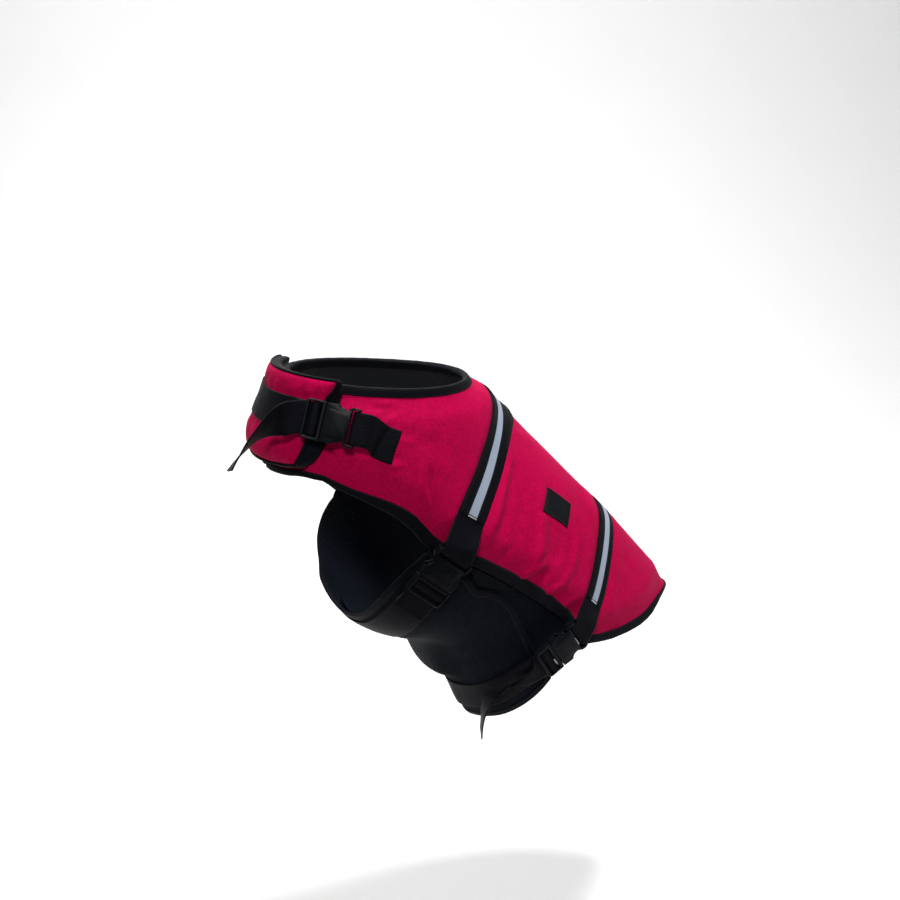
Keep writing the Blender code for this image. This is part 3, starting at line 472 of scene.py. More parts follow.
def reflective(name, bright_width, length):
    """Black ribbon with a grey-blue reflective strip along its middle, white at its sewn ends."""
    n = Nodes(name)
    u, v = n.uv()
    side = n.absolute(u)
    half = bright_width / 2
    bright = n.inverse(n.ramp(side, half - 0.15, half + 0.15))
    fine = n.noise(900.0, 2.0, 0.7)
    tone = n.scaled(n.noise(25.0, 2.0), 0.5, n.times(fine, 0.4))
    grey = n.mix(tone, (0.25, 0.30, 0.38), (0.39, 0.45, 0.56))
    end = n.math("MINIMUM", v, n.minus(length, v))
    sewn = n.minus(n.ramp(end, 1.3, 1.5), n.ramp(end, 2.3, 2.5))
    grey = n.mix(sewn, grey, (0.0020, 0.0022, 0.0040))
    grey = n.mix(n.inverse(n.ramp(end, 1.1, 1.4)), grey, (0.80, 0.82, 0.86))
    rib = n.wave(v, 1.1)
    black = n.mix(n.times(rib, fine), (0.0012, 0.0014, 0.0026), (0.0060, 0.0068, 0.0105))
    edge = n.absolute(n.minus(side, half + 1.5))
    seam = n.times(n.inverse(n.ramp(edge, 0.2, 0.5)), n.ramp(n.zigzag(v, 1.5), 0.2, 0.5))
    black = n.mix(n.times(seam, 0.4), black, (0.03, 0.032, 0.040))
    n.colour(n.mix(bright, black, grey))
    n.rough(bright, -0.22, 0.6)
    n.shine(0.1)
    height = n.plus(n.times(rib, n.minus(0.6, bright)), n.times(bright, 0.8))
    n.bump(n.plus(height, n.times(seam, -0.6)), 0.00025, 0.6)
    return n.mat


def plastic(name):
    """Moulded acetal with a fine grain and an uneven polish."""
    n = Nodes(name)
    broad = n.noise(60.0, 3.0)
    n.colour(n.mix(broad, (0.0016, 0.0021, 0.0036), (0.0024, 0.00315, 0.0054)))
    n.rough(broad, 0.16, 0.30)
    n.shine(0.12)
    n.bump(n.noise(1500.0, 2.0, 0.6), 0.00008, 0.35)
    return n.mat


def label_cloth():
    """Black woven label with a satin-stitched border."""
    n = Nodes("label_weave")
    u, v = n.uv()

    def from_rim(coord, size):
        return n.minus(size / 2, n.absolute(n.minus(coord, size / 2)))

    rim = n.math("MINIMUM", from_rim(u, LABEL_WIDE), from_rim(v, LABEL_HIGH))
    border = n.inverse(n.ramp(rim, 2.2, 2.6))
    satin = n.wave(n.plus(u, v), 0.7)
    weave = n.times(n.wave(u, 0.6), n.wave(v, 0.45))
    field = n.mix(n.noise(300.0, 2.0), (0.0022, 0.0026, 0.0044), (0.0058, 0.0066, 0.0100))
    edge = n.mix(satin, (0.0010, 0.0011, 0.0020), (0.0052, 0.0058, 0.0085))
    n.colour(n.mix(border, field, edge))
    n.shader.inputs["Roughness"].default_value = 0.55
    n.shine(0.1, 0.01)
    n.bump(n.plus(n.times(border, satin), n.times(weave, 0.5)), 0.0002, 0.5)
    return n.mat


def ground():
    n = Nodes("studio_floor")
    n.colour(n.mix(n.noise(6.0, 2.0), (0.93, 0.93, 0.93), (0.95, 0.95, 0.95)))
    n.shader.inputs["Roughness"].default_value = 0.85
    n.shine(0.1)
    return n.mat


RED = oxford("crimson_oxford", (0.55, 0.0012, 0.071), (0.335, 0.0006, 0.0385), 0.02)
LINING = close_weave("lining_taffeta", (160.0, 2.0), (0.0050, 0.0056, 0.0075), (0.0110, 0.0120, 0.0150),
                     (0.2, 0.5), (0.2, 0.02, 0.5), 0.6, 0.0001)
SMOOTH = close_weave("black_smooth_cloth", (300.0, 2.0, 0.6), (0.0012, 0.0017, 0.0034),
                     (0.0038, 0.0048, 0.0080), (0.15, 0.55), (0.07, 0.01, 0.5), 0.7, 0.00012)
WEBBING = webbing("black_webbing_weave")
BINDING = binding("black_binding_tape")
SPACER = spacer_mesh("black_spacer_mesh")
PLASTIC = plastic("black_acetal")
LABEL = label_cloth()


# ------------------------------------------------------------------ mesh builders
def add_mesh(name, points, faces, looks, uvs, slots=None):
    """points in mm. uvs: (u, v) mm per point. slots: material index per face."""
    mesh = bpy.data.meshes.new(name)
    mesh.from_pydata((np.asarray(points, float) * MM).tolist(), [], faces)
    for look in looks:
        mesh.materials.append(look)
    if slots is not None:
        mesh.polygons.foreach_set("material_index", slots)
    layer = mesh.uv_layers.new(name="cloth")
    index = np.empty(len(mesh.loops), np.int64)
    mesh.loops.foreach_get("vertex_index", index)
    layer.data.foreach_set("uv", np.asarray(uvs, float)[index].ravel())
    bm = bmesh.new()
    bm.from_mesh(mesh)
    bmesh.ops.recalc_face_normals(bm, faces=bm.faces[:])
    bm.to_mesh(mesh)
    bm.free()
    mesh.polygons.foreach_set("use_smooth", [True] * len(mesh.polygons))
    obj = bpy.data.objects.new(name, mesh)
    bpy.context.scene.collection.objects.link(obj)
    return obj


def own(obj, node, slot):
    """obj is part of the jacket and stands for the CAD node."""
    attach(obj, "root")
    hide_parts(node)


def grid_faces(rows, cols):
    i, j = np.meshgrid(np.arange(rows - 1), np.arange(cols - 1), indexing="ij")
    a = (i * cols + j).ravel()
    return np.stack([a, a + 1, a + cols + 1, a + cols], 1).tolist()


def shell(name, inner, outer, quads, looks, uvs):
    """Closed cloth panel. looks[0] outside and on the rim, looks[-1] inside."""
    n = len(inner)
    edges = {(a, b) for q in quads for a, b in zip(q, q[1:] + q[:1])}
    rim = [(a, b) for q in quads for a, b in zip(q, q[1:] + q[:1]) if (b, a) not in edges]
    faces = [list(q) for q in quads]
    faces += [[n + i for i in reversed(q)] for q in quads]
    faces += [[b, a, n + a, n + b] for a, b in rim]
    slots = [0] * len(quads) + [len(looks) - 1] * len(quads) + [0] * len(rim)
    return add_mesh(name, np.concatenate([outer, inner]), faces, looks,
                    np.concatenate([uvs, uvs]), slots)


def cloth_uv(s, r, along=1.0, degree=DEGREE):
    """Cloth (u, v) in mm at places on the coat."""
    return np.stack([(r * degree).ravel(), (s * along).ravel()], 1)


def patch(name, s, r, low, high, looks, uvs):
    """Cloth over a grid of places, between low and high mm off the coat."""
    return shell(name, at(s, r, low).reshape(-1, 3), at(s, r, high).reshape(-1, 3),
                 grid_faces(*s.shape), looks, uvs)


def spline(ctrl, count):
    """Resample control rows (N, ...) to count rows on a smooth curve, even along its length."""
    ctrl = np.asarray(ctrl, float)
    flat = ctrl.reshape(len(ctrl), -1)
    mid = ctrl if ctrl.ndim == 2 else ctrl[:, ctrl.shape[1] // 2]
    gaps = np.sqrt(np.linalg.norm(np.diff(mid, axis=0), axis=1)) + 1e-6
    t = np.concatenate([[0], np.cumsum(gaps)])
    fine = np.linspace(0, t[-1], count * 6)
    path = hermite(t, flat, fine)
    centre = path.reshape((len(fine),) + ctrl.shape[1:])
    centre = centre if ctrl.ndim == 2 else centre[:, ctrl.shape[1] // 2]
    length = np.concatenate([[0], np.cumsum(np.linalg.norm(np.diff(centre, axis=0), axis=1))])
    even = np.interp(np.linspace(0, length[-1], count), length, fine)
    return hermite(t, flat, even).reshape((count,) + ctrl.shape[1:]), length[-1]


def edge_round(across, half):
    """How thick a tape is across its width, from 1 in the middle to thin at its edges."""
    left = np.clip((half - np.abs(across)) / 0.9, 0, 1)
    return 0.35 + 0.65 * np.sqrt(1 - (1 - left)**2)


def strip(name, ctrl, width, thick, look, step, cols, wear, seed):
    """Webbing or tape through control rows of points across it, and its length in mm."""
    ctrl = np.asarray(ctrl, float)
    mid = ctrl[:, ctrl.shape[1] // 2]
    rough_length = np.linalg.norm(np.diff(mid, axis=0), axis=1).sum()
    count = max(8, int(rough_length / step))
    rows, length = spline(ctrl, count)
    k = rows.shape[1]
    share = np.linspace(-1, 1, k)
    bend = np.linspace(-1, 1, cols)
    bend = np.sign(bend) * (1 - (1 - np.abs(bend))**1.5)
    cross = hermite(share, np.moveaxis(rows, 1, 0).reshape(k, -1), bend)
    grid = np.moveaxis(cross.reshape(cols, count, 3), 0, 1)
    along = unit(np.gradient(grid, axis=0))
    side = unit(np.gradient(grid, axis=1))
    normal = unit(np.cross(side, along))
    across = bend * width / 2
    v = np.linspace(0, length, count)
    lift = wear * ripple(v[:, None], across[None, :], seed, 26.0)
    grid = grid + normal * lift[..., None]
    half = thick / 2 * edge_round(across, width / 2)
    off = normal * half[None, :, None]
    uv = np.stack(np.broadcast_arrays(across[None, :], v[:, None]), -1).reshape(-1, 2)
    obj = shell(name, (grid - off).reshape(-1, 3), (grid + off).reshape(-1, 3),
                grid_faces(count, cols), [look], uv)
    return obj, length


# ------------------------------------------------------------------ back panel
def rear_edge(around):
    return table(REAR_HEM, np.abs(around))


def side_hem(along):
    return table(SIDE_HEM, np.clip(along, REAR_HEM[-1][1], WING_ROOT))


def back_patch(half_cols, body_rows, arm_rows, neck_rows, wing_cols):
    """(along, around) points, quads and edge loop of the back panel with its wings."""
    us = np.linspace(-1, 1, 2 * half_cols + 1)
    cols = len(us)
    places = []
    corner = REAR_HEM[-1][1]
    for t in np.linspace(0, 1, body_rows):
        wide = side_hem(corner + t * (JOIN - corner))
        s0 = rear_edge(us * HEM_CORNER)
        places.append(np.stack([s0 + t * (JOIN - s0), us * wide], 1))
    wing_s = list(np.linspace(WING_ROOT, NECK, neck_rows))
    front = list(np.linspace(JOIN, WING_ROOT, arm_rows)[1:]) + wing_s[1:]
    for s in front:
        places.append(np.stack([np.full(cols, s), us * side_hem(s)], 1))
    rows = len(places)
    places = [tuple(p) for block in places for p in block]
    quads = grid_faces(rows, cols)
    first = body_rows + arm_rows - 2
    chains = {}
    for sign, end in ((1, LEFT_WING_END), (-1, RIGHT_WING_END)):
        edge = cols - 1 if sign > 0 else 0
        before = [(first + k) * cols + edge for k in range(len(wing_s))]
        chain = [before]
        for around in np.linspace(WING_START, end, wing_cols + 1)[1:]:
            low = table(WING_LOW, around)
            now = []
            for s in wing_s:
                now.append(len(places))
                share = (s - WING_ROOT) / (NECK - WING_ROOT)
                places.append((float(low + (NECK - low) * share), sign * float(around)))
            for k in range(len(wing_s) - 1):
                q = [before[k], now[k], now[k + 1], before[k + 1]]
                quads.append(q if sign > 0 else q[::-1])
            before = now
            chain.append(now)
        chains[sign] = chain
    left, right = chains[1], chains[-1]
    loop = list(range(cols))
    loop += [i * cols + cols - 1 for i in range(1, first + 1)]
    loop += [c[0] for c in left[1:]]
    loop += left[-1][1:]
    loop += [c[-1] for c in reversed(left[1:-1])]
    loop += list(range((rows - 1) * cols, rows * cols))[::-1]
    loop += [c[-1] for c in right[1:]]
    loop += right[-1][::-1][1:]
    loop += [c[0] for c in reversed(right[1:-1])]
    loop += [i * cols for i in range(first, 0, -1)]
    return np.array(places), quads, loop


PLACES, QUADS, LOOP = back_patch(78, 126, 27, 25, 26)
RING = PLACES[LOOP]
EDGE = coat(RING[:, 0], RING[:, 1])


def tree_of(points):
    tree = kdtree.KDTree(len(points))
    for i, p in enumerate(points):
        tree.insert(p, i)
    tree.balance()
    return tree


EDGE_TREE = tree_of(EDGE)
# nearer than this, mm, the gap is measured to the edge line and not to its points
NEAR_EDGE = 12.0


def edge_gap(points):
    """Distance of each point of the coat from the panel's edge."""
    flat = points.reshape(-1, 3)
    out = np.empty(len(flat))
    total = len(EDGE)
    for i, p in enumerate(flat):
        _, j, gap = EDGE_TREE.find(p)
        if gap < NEAR_EDGE:
            for k in (j - 1, j):
                a = EDGE[k % total]
                b = EDGE[(k + 1) % total]
                t = min(1.0, max(0.0, float((p - a) @ (b - a) / max((b - a) @ (b - a), 1e-9))))
                gap = min(gap, float(np.linalg.norm(p - a - (b - a) * t)))
        out[i] = gap
    return out.reshape(points.shape[:-1])


def line_tree(line, first, last):
    """Points of a middle line, one at each degree from first to last."""
    turns = np.arange(first, last, 1.0)
    return tree_of(coat(line_at(line, turns), turns))


FRONT_TREE = line_tree(FRONT_LINE, -112.0, 112.5)
REAR_TREE = line_tree(REAR_LINE, -100.0, 100.5)
BELLY_FRONT_TREE = line_tree(FRONT_LINE, -232.0, -92.0)
BELLY_REAR_TREE = line_tree(REAR_LINE, -232.0, -92.0)


def line_gap(points, tree):
    flat = points.reshape(-1, 3)
    return np.array([tree.find(p)[2] for p in flat]).reshape(points.shape[:-1])


# Creases of the back panel: height mm (less than 0 is a valley), half width mm, side of the second
# fold that runs beside it the other way, its share of the height, places (along, around).
CREASES = (
    # the long fold that climbs from the left armhole
    (-3.5, 3.3, 1, 0.9, ((400, 100.4), (411, 97.8), (420, 95.9), (436.2, 93.4), (449.2, 90.7),
                         (466, 88.2))),
    (1.6, 8.0, 0, 0.0, ((404, 92), (420, 87.5), (439, 83.4), (450, 81.5), (468, 79.5))),
    (-1.2, 8.0, 0, 0.0, ((455, 87), (466, 85), (480, 85), (492, 88))),
    # short wrinkles by the left shoulder tab
    (1.7, 2.8, 1, 0.8, ((521, 123), (518, 119.0), (518, 114.9), (519, 109.0))),
    (1.6, 2.6, 1, 0.8, ((507, 113.0), (512, 107.8), (515, 101.0))),
    (1.3, 2.6, -1, 0.7, ((526, 118), (526, 111), (529, 104))),
    (-1.0, 5.0, 0, 0.0, ((490, 92.5), (481, 89.5), (473, 88.0))),
    (1.2, 3.0, 1, 0.7, ((480, 113), (473, 108), (468, 101))),
    (1.1, 3.4, 1, 0.7, ((497, 105), (489, 99), (484, 92))),
    # broad soft folds between the girth straps
    (4.6, 6.2, 1, 0.5, ((353, 42), (351.5, 54), (348, 69), (343, 81), (340, 91))),
    (-1.4, 8.0, 0, 0.0, ((318, 50), (316, 62), (312, 76), (308, 88))),
    (6.2, 8.0, 1, 0.45, ((290, 44), (286, 57), (281, 68), (273, 78), (270, 86), (273, 93))),
    (3.0, 5.5, 0, 0.0, ((231, 50), (220, 63), (217, 74), (223, 83), (231, 90))),
    (-1.8, 7.0, 0, 0.0, ((247, 60), (245, 70), (243, 80))),
    (2.3, 2.8, 1, 0.9, ((238, 45), (234, 51.5), (225, 58), (215, 64.5), (203, 71), (191.5, 76.5))),
    (2.1, 2.8, 1, 0.9, ((220, 15), (216, 22), (210.5, 29), (205, 34.5), (197, 39.5), (189, 43.5))),
    (1.2, 7.0, 0, 0.0, ((352, 30), (330, 27), (306, 20))),
    (-0.9, 9.0, 0, 0.0, ((411, 52), (408, 60), (404, 70))),
    # puckers over the left hem
    (4.2, 4.8, -1, 0.9, ((278, 96), (272, 91.5), (264, 86.5), (257, 82.5), (252, 79))),
    (3.3, 4.4, -1, 0.9, ((234, 93), (229, 89), (223, 85.5), (218, 81))),
    (-0.8, 4.6, 0, 0.0, ((317, 93), (312, 88), (305, 82))),
    (0.9, 4.6, 1, 0.6, ((300, 95), (303, 89), (309, 83))),
    (0.8, 4.0, -1, 0.7, ((198, 90), (194, 85), (190, 80))),
    # behind the rear strap
    (-1.2, 9.0, 0, 0.0, ((136, 36), (118, 42), (96, 46))),
    (1.4, 6.0, 1, 0.5, ((138, 62), (126, 70), (112, 74))),
    (1.2, 4.0, -1, 0.6, ((128, 84), (118, 78), (108, 70))),
    # right side, and the far shoulder
    (2.0, 4.6, 1, 0.9, ((405, -99), (419, -96), (436, -92), (452, -90), (470, -84))),
    (1.2, 2.8, -1, 0.8, ((514, -118), (512, -110), (516, -102))),
    (1.0, 3.0, 1, 0.8, ((504, -124), (502, -115), (497, -106))),
    (-1.7, 8.0, 1, 0.5, ((352, -42), (342, -54), (339, -66), (345, -74))),
    (-1.8, 7.0, -1, 0.7, ((293, -38), (297, -50), (303, -58), (300, -70))),
    (2.5, 4.6, -1, 0.8, ((283, -64), (280, -74), (283, -82), (281, -92))),
    (2.0, 3.8, 1, 0.9, ((240, -72), (236, -80), (239, -91))),
    (-1.7, 4.2, 0, 0.0, ((258, -78), (264, -85), (266, -92))),
    (1.5, 3.4, 1, 0.8, ((226, -48), (216, -58), (203, -66), (188, -72))),
    (1.5, 3.4, -1, 0.8, ((218, -14), (208, -26), (192, -36))),
    (1.2, 5.0, 1, 0.6, ((322, -84), (326, -90), (323, -95))),
    (-0.9, 9.0, 0, 0.0, ((140, -30), (116, -40), (96, -50))),
)


# Where the label lies: from and to along, from and to around. Creases fade under it.
LABEL_SPOT = (242.0, 285.4, 44.3, 61.4)
# Padding: flat at the edge, then the run up to its full height, mm.
FLAT_EDGE = 3.0
RISE_RUN = 32.0
FREE_RUN = 9.0
# A strap's dent and the swell beside it: depth or height, distance from the strap's middle, mm.
DENT = 1.3
DENT_HALF = 14.0
SWELL = 0.5
SWELL_AT = 27.0


def crease_height(points, normals, creases):
    """Total height of the creases at points on the coat."""
    flat = points.reshape(-1, 3)
    total = np.zeros(len(flat))
    for high, wide, way, share, route in creases:
        route = np.array(route, float)
        path, length = spline(coat(route[:, 0], route[:, 1]), max(10, int(10 * len(route))))
        step = unit(np.gradient(path, axis=0))
        near = np.linalg.norm(flat - path[len(path) // 2], axis=1) < length / 2 + wide * 6
        some = flat[near]
        gap = np.linalg.norm(some[:, None] - path[None], axis=2)
        j = np.argmin(gap, axis=1)
        d = some - path[j]
        over = np.cross(normals.reshape(-1, 3)[near], step[j])
        x = np.sum(d * over, 1)
        beyond = np.abs(np.sum(d * step[j], 1))
        end = np.exp(-(beyond / wide)**2)
        t = j / (len(path) - 1)
        fade = smooth(t / 0.3) * smooth((1 - t) / 0.3)
        fade = fade * (0.82 + 0.18 * np.sin(t * 9.0 + route[0, 0]))
        fold = np.exp(-(x / wide)**2)
        if way:
            fold = fold - share * np.exp(-((x - way * 1.9 * wide) / (1.5 * wide))**2)
        total[near] += high * fold * fade * end
    return total.reshape(points.shape[:-1])


def panel_height(along, around):
    """Outside of the padded panel, mm off the coat."""
    along, around = paired(along, around)
    here = coat(along, around)
    gap = edge_gap(here)
    full = PANEL_FULL - (PANEL_FULL - WING_FULL) * smooth((np.abs(around) - 126.0) / 14.0)
    rise = smooth((gap - FLAT_EDGE) / RISE_RUN)
    height = PANEL_IN + PANEL_EDGE + (full - PANEL_EDGE) * rise
    free = smooth((gap - FLAT_EDGE) / FREE_RUN)
    front = line_gap(here, FRONT_TREE)
    rear = line_gap(here, REAR_TREE)
    for far in (front, rear):
        press = 1 - smooth((far - DENT_HALF) / 9.0)
        swell = np.exp(-((far - SWELL_AT) / 8.0)**2)
        height = height - DENT * press * free + SWELL * swell * free
    calm = smooth((np.minimum(front, rear) - 13.0) / 7.0)
    folds = crease_height(here, outward(along, around), CREASES)
    folds = folds + 0.35 * ripple(along, around * 2.0, 4, 95.0) + 0.12 * ripple(along, around * 2.0, 9, 30.0)
    beside = np.maximum(LABEL_SPOT[0] - along, along - LABEL_SPOT[1]) * 0.8
    beyond = np.maximum(LABEL_SPOT[2] - around, around - LABEL_SPOT[3]) * 2.0
    sewn = 0.1 + 0.9 * smooth((np.maximum(beside, beyond) + 0.5) / 7.0)
    return height + folds * (0.12 + 0.88 * calm) * free * sewn


def make_panel():
    s, r = PLACES[:, 0], PLACES[:, 1]
    outs = panel_height(s, r)
    obj = shell("back_panel_padded", at(s, r, PANEL_IN + 0 * s), at(s, r, outs), QUADS,
                [RED, LINING], cloth_uv(s, r))
    own(obj, "back_panel", slot="red_oxford_cloth")


def edge_lead(loop, closed):
    """Steps in (along, around) that lead 1 mm out over an edge, smoothed along it."""
    s, r = loop[:, 0], loop[:, 1]
    p = coat(s, r)
    n = outward(s, r)
    if closed:
        ahead = np.roll(p, -2, axis=0) - np.roll(p, 2, axis=0)
    else:
        ahead = np.gradient(p, axis=0)
    e = unit(np.cross(n, ahead))
    for _ in range(3):
        if closed:
            e = unit(np.roll(e, 1, axis=0) + e + np.roll(e, -1, axis=0))
        else:
            e[1:-1] = unit(e[:-2] + e[1:-1] + e[2:])
    return surface_step(s, r, e)


def fold_profile(w_top, w_low, top, low, thick, over=0.35):
    """Corners (mm over the edge, mm off the coat) of a tape folded round an edge."""
    mid = (top + low) / 2
    half = (top - low) / 2
    outer = [(-w_top, top + 0.25), (-w_top - 0.1, top + thick * 0.7), (-w_top + 0.5, top + thick)]
    outer += [(-w_top * 0.55, top + thick + 0.12), (-w_top * 0.2, top + thick)]
    for a in np.radians((75, 50, 25, 0, -25, -50, -75)):
        outer.append((over + thick * 0.3 + (half * 0.34 + thick * 0.55) * math.cos(a),
                      mid + (half + thick) * math.sin(a)))
    outer += [(-w_low * 0.2, low - thick), (-w_low + 0.5, low - thick), (-w_low - 0.1, low - thick * 0.6),
              (-w_low, low - 0.1)]
    inner = [(-w_low * 0.5, low), (over * 0.4, low + 0.2), (over, mid), (over * 0.4, top - 0.2),
             (-w_top * 0.5, top)]
    return outer + inner


def tape_edge(name, loop, profile, closed, look, seed):
    """Binding: a tape profile swept along an edge, a little uneven."""
    loop = np.asarray(loop, float)
    lead = edge_lead(loop, closed)
    p = coat(loop[:, 0], loop[:, 1])
    steps = np.linalg.norm(np.diff(p, axis=0), axis=1)
    run = np.concatenate([[0], np.cumsum(steps)])
    corners = [profile(i) for i in range(len(loop))]
    k = len(corners[0])
    over = np.array([[c[0] for c in row] for row in corners])
    out = np.array([[c[1] for c in row] for row in corners])
    wob = ripple(run[:, None], np.arange(k)[None, :] * 2.0, seed, 17.0)
    over = over + 0.16 * wob
    out = out + 0.10 * ripple(run[:, None], np.arange(k)[None, :] * 3.0, seed + 1, 11.0)
    s = loop[:, 0, None] + lead[:, 0, None] * over
    r = loop[:, 1, None] + lead[:, 1, None] * over
    points = at(s, r, out)
    girth = np.concatenate([[0], np.cumsum(np.linalg.norm(np.diff(points[0], axis=0), axis=1))])
    uv = np.stack(np.broadcast_arrays(girth[None, :], run[:, None]), -1).reshape(-1, 2)
    faces = []
    n = len(loop)
    for i in range(n if closed else n - 1):
        a = i * k
        b = ((i + 1) % n) * k
        for j in range(k):
            m = (j + 1) % k
            faces.append((a + j, a + m, b + m, b + j))
    if not closed:
        faces.append(tuple(range(k)))
        faces.append(tuple(range((n - 1) * k + k - 1, (n - 1) * k - 1, -1)))
    return add_mesh(name, points.reshape(-1, 3), faces, [look], uv)


def make_back_binding():
    top = PANEL_IN + PANEL_EDGE + LIP_GAP
    s, r = RING[:, 0], RING[:, 1]
    wide = table(REAR_LIP, np.abs(r))
    wide = np.where(s > SIDE_FROM, table(SIDE_TAPE, s), wide)
    # the armhole band is partly binding and partly painted shade
    wide = np.where(s > ARM_FROM, table(ARM_TAPE_AND_SHADE, s), wide)
    wide = np.where(s > NECK - 1.0, NECK_TAPE, wide)
    for _ in range(6):
        wide = (np.roll(wide, 1) + wide + np.roll(wide, -1)) / 3

    def profile(i):
        return fold_profile(wide[i], max(wide[i], 6.0), top, PANEL_IN - LIP_GAP, TAPE)

    obj = tape_edge("back_panel_binding_tape", RING, profile, True, BINDING, 21)
    own(obj, "back_panel_binding", slot="black_binding")


# ------------------------------------------------------------------ belly halves
def tuck(along, turn):
    """How far the mesh is drawn in at the rear of the right side; turn is degrees from there."""
    edge = line_at(REAR_LINE, turn) + 16.5
    drawn = TUCK * smooth((192.0 - turn) / 18.0) * smooth((turn - 96.0) / 34.0)
    full = BULGE * smooth((206.0 - turn) / 18.0) * smooth((turn - 112.0) / 40.0)
    return (drawn * smooth((edge + 17.0 - along) / 17.0)
            - full * smooth((along - edge - 3.0) / 18.0) * (1 - smooth((along - edge - 26.0) / 75.0)))


def flap_in(along, around):
    along = np.asarray(along, float)
    turn = -np.asarray(around, float)
    lap = FLAP_LIFT - (FLAP_LIFT - BELLY_IN) * smooth((157.0 - turn) / 12.0)
    side = smooth((turn - 178.0) / 14.0) * smooth((246.0 - turn) / 40.0)
    rear = smooth((186.0 - along) / 36.0)
    wave = 1.2 * np.sin(along / 23.0) * smooth((turn - 190.0) / 20.0) * smooth((248.0 - turn) / 14.0)
    return lap + FLAP_SAG * side * rear + wave * (1 - rear) - tuck(along, turn)


# Creases of the mesh halves, in the same columns; around is in each half's own count.
FLAP_CREASES = (
    (1.5, 6.0, 1, 0.7, ((300, -246), (292, -234), (276, -222), (262, -206))),
    (-1.2, 7.0, -1, 0.6, ((250, -243), (240, -232), (232, -216), (236, -200))),
    (1.2, 5.0, 1, 0.8, ((212, -241), (206, -230), (210, -214))),
    (1.4, 7.0, -1, 0.7, ((330, -225), (318, -210), (310, -195), (300, -180))),
    (-1.0, 8.0, 0, 0.0, ((280, -150), (262, -160), (250, -178))),
    (1.2, 6.0, 1, 0.7, ((240, -118), (232, -130), (236, -146))),
    (1.0, 6.0, -1, 0.7, ((300, -112), (304, -128), (296, -140))),
    (-1.0, 6.0, 0, 0.0, ((200, -105), (204, -122), (198, -138))),
)
LEFT_CREASES = (
    (1.0, 5.0, 1, 0.7, ((250, 97), (240, 103), (226, 108))),
    (-0.9, 6.0, 0, 0.0, ((222, 95), (212, 100), (205, 108))),
    (0.9, 6.0, -1, 0.7, ((290, 130), (270, 140), (260, 156))),
    (0.9, 6.0, 1, 0.7, ((200, 128), (212, 142), (206, 160))),
)


def cloth_folds(s, r, creases, seed):
    folds = crease_height(coat(s, r), outward(s, r), creases)
    return folds + 0.3 * ripple(s, np.abs(r) * 2.0, seed, 70.0)


def flap_patch(rows, cols):
    """Places of the lapping half, from under the right hem round to its end on the left flank."""
    v = np.linspace(0, 1, rows)[:, None]
    w = np.linspace(0, 1, cols)[None, :]
    first, last = 150.0, 383.0
    end = table(FLAP_TOP, first + (last - first) * w) - 360.0
    r = -BELLY_START + (end + BELLY_START) * v
    lo = line_at(FLAP_REAR, r)
    hi = line_at(FLAP_FRONT, r)
    return lo + (hi - lo) * w, r


def flap_height(s, r):
    """Inside of the lapping half, mm off the coat."""
    here = coat(s, r)
    folds = cloth_folds(s, r, FLAP_CREASES, 31)
    strap = np.minimum(line_gap(here, BELLY_FRONT_TREE), line_gap(here, BELLY_REAR_TREE))
    calm = 0.15 + 0.85 * smooth((strap - 15.0) / 9.0)
    start = smooth((-r - BELLY_START) / 20.0)
    lift = smooth((-r - 150.0) / 20.0)
    return flap_in(s, r) + folds * calm * start * (0.4 + 0.6 * lift)


def make_belly():
    rows, cols = 96, 90
    v = np.linspace(BELLY_START, 197, rows)[:, None]
    w = np.linspace(0, 1, cols)[None, :]
    lo = table(LEFT_REAR, v)
    hi = table(LEFT_FRONT, v)
    s = lo + (hi - lo) * w
    r = np.broadcast_to(v, s.shape)
    fade = smooth((v - 93.0) / 6.0) * smooth((150.0 - v) / 30.0)
    base = BELLY_IN + 0.9 * cloth_folds(s, r, LEFT_CREASES, 33) * fade - tuck(s, 360.0 - r)
    obj = patch("belly_left_mesh", s, r, base, base + MESH, [SPACER], cloth_uv(s, r))
    own(obj, "belly_panel_left", slot="black_mesh")

    rows, cols = 150, 92
    s, r = flap_patch(rows, cols)
    inside = flap_height(s, r)
    flap = patch("belly_right_mesh", s, r, inside, inside + MESH, [SPACER], cloth_uv(s, r))
    own(flap, "belly_panel_right", slot="black_mesh")

    # the binding starts where the half comes out from under the right hem
    index = np.arange(rows * cols).reshape(rows, cols)
    start = 28
    loop = list(index[start:, 0]) + list(index[-1, 1:]) + list(index[start:-1, -1][::-1])
    ring = np.stack([s.ravel(), r.ravel()], 1)[loop][::-1]
    lift = inside.ravel()[loop][::-1]

    def profile(i):
        return fold_profile(FLAP_TAPE, FLAP_TAPE, lift[i] + MESH + 0.1, lift[i] - 0.1, 0.8)

    obj = tape_edge("belly_flap_binding_tape", ring, profile, False, BINDING, 25)
    own(obj, "belly_flap_binding", slot="black_binding")


# ------------------------------------------------------------------ chest float
PAD_SIDE = ((484, 27.4), (492, 30.1), (499, 31.8), (514, 35), (529, 38.2), (535, 40.8), (543.4, 43))
PAD_BASE = ((484, 29.5), (488, 34), (497, 38.7), (514, 42), (532, 43.9), (543.4, 43.6))
PAD_CROWN = ((484, 28.2), (500, 28.0), (514, 26.0), (526, 24.6), (543.4, 24.6))
PAD_PRESSED = ((484, 26.4), (503, 25.9), (527, 22.7), (543.4, 22.7))


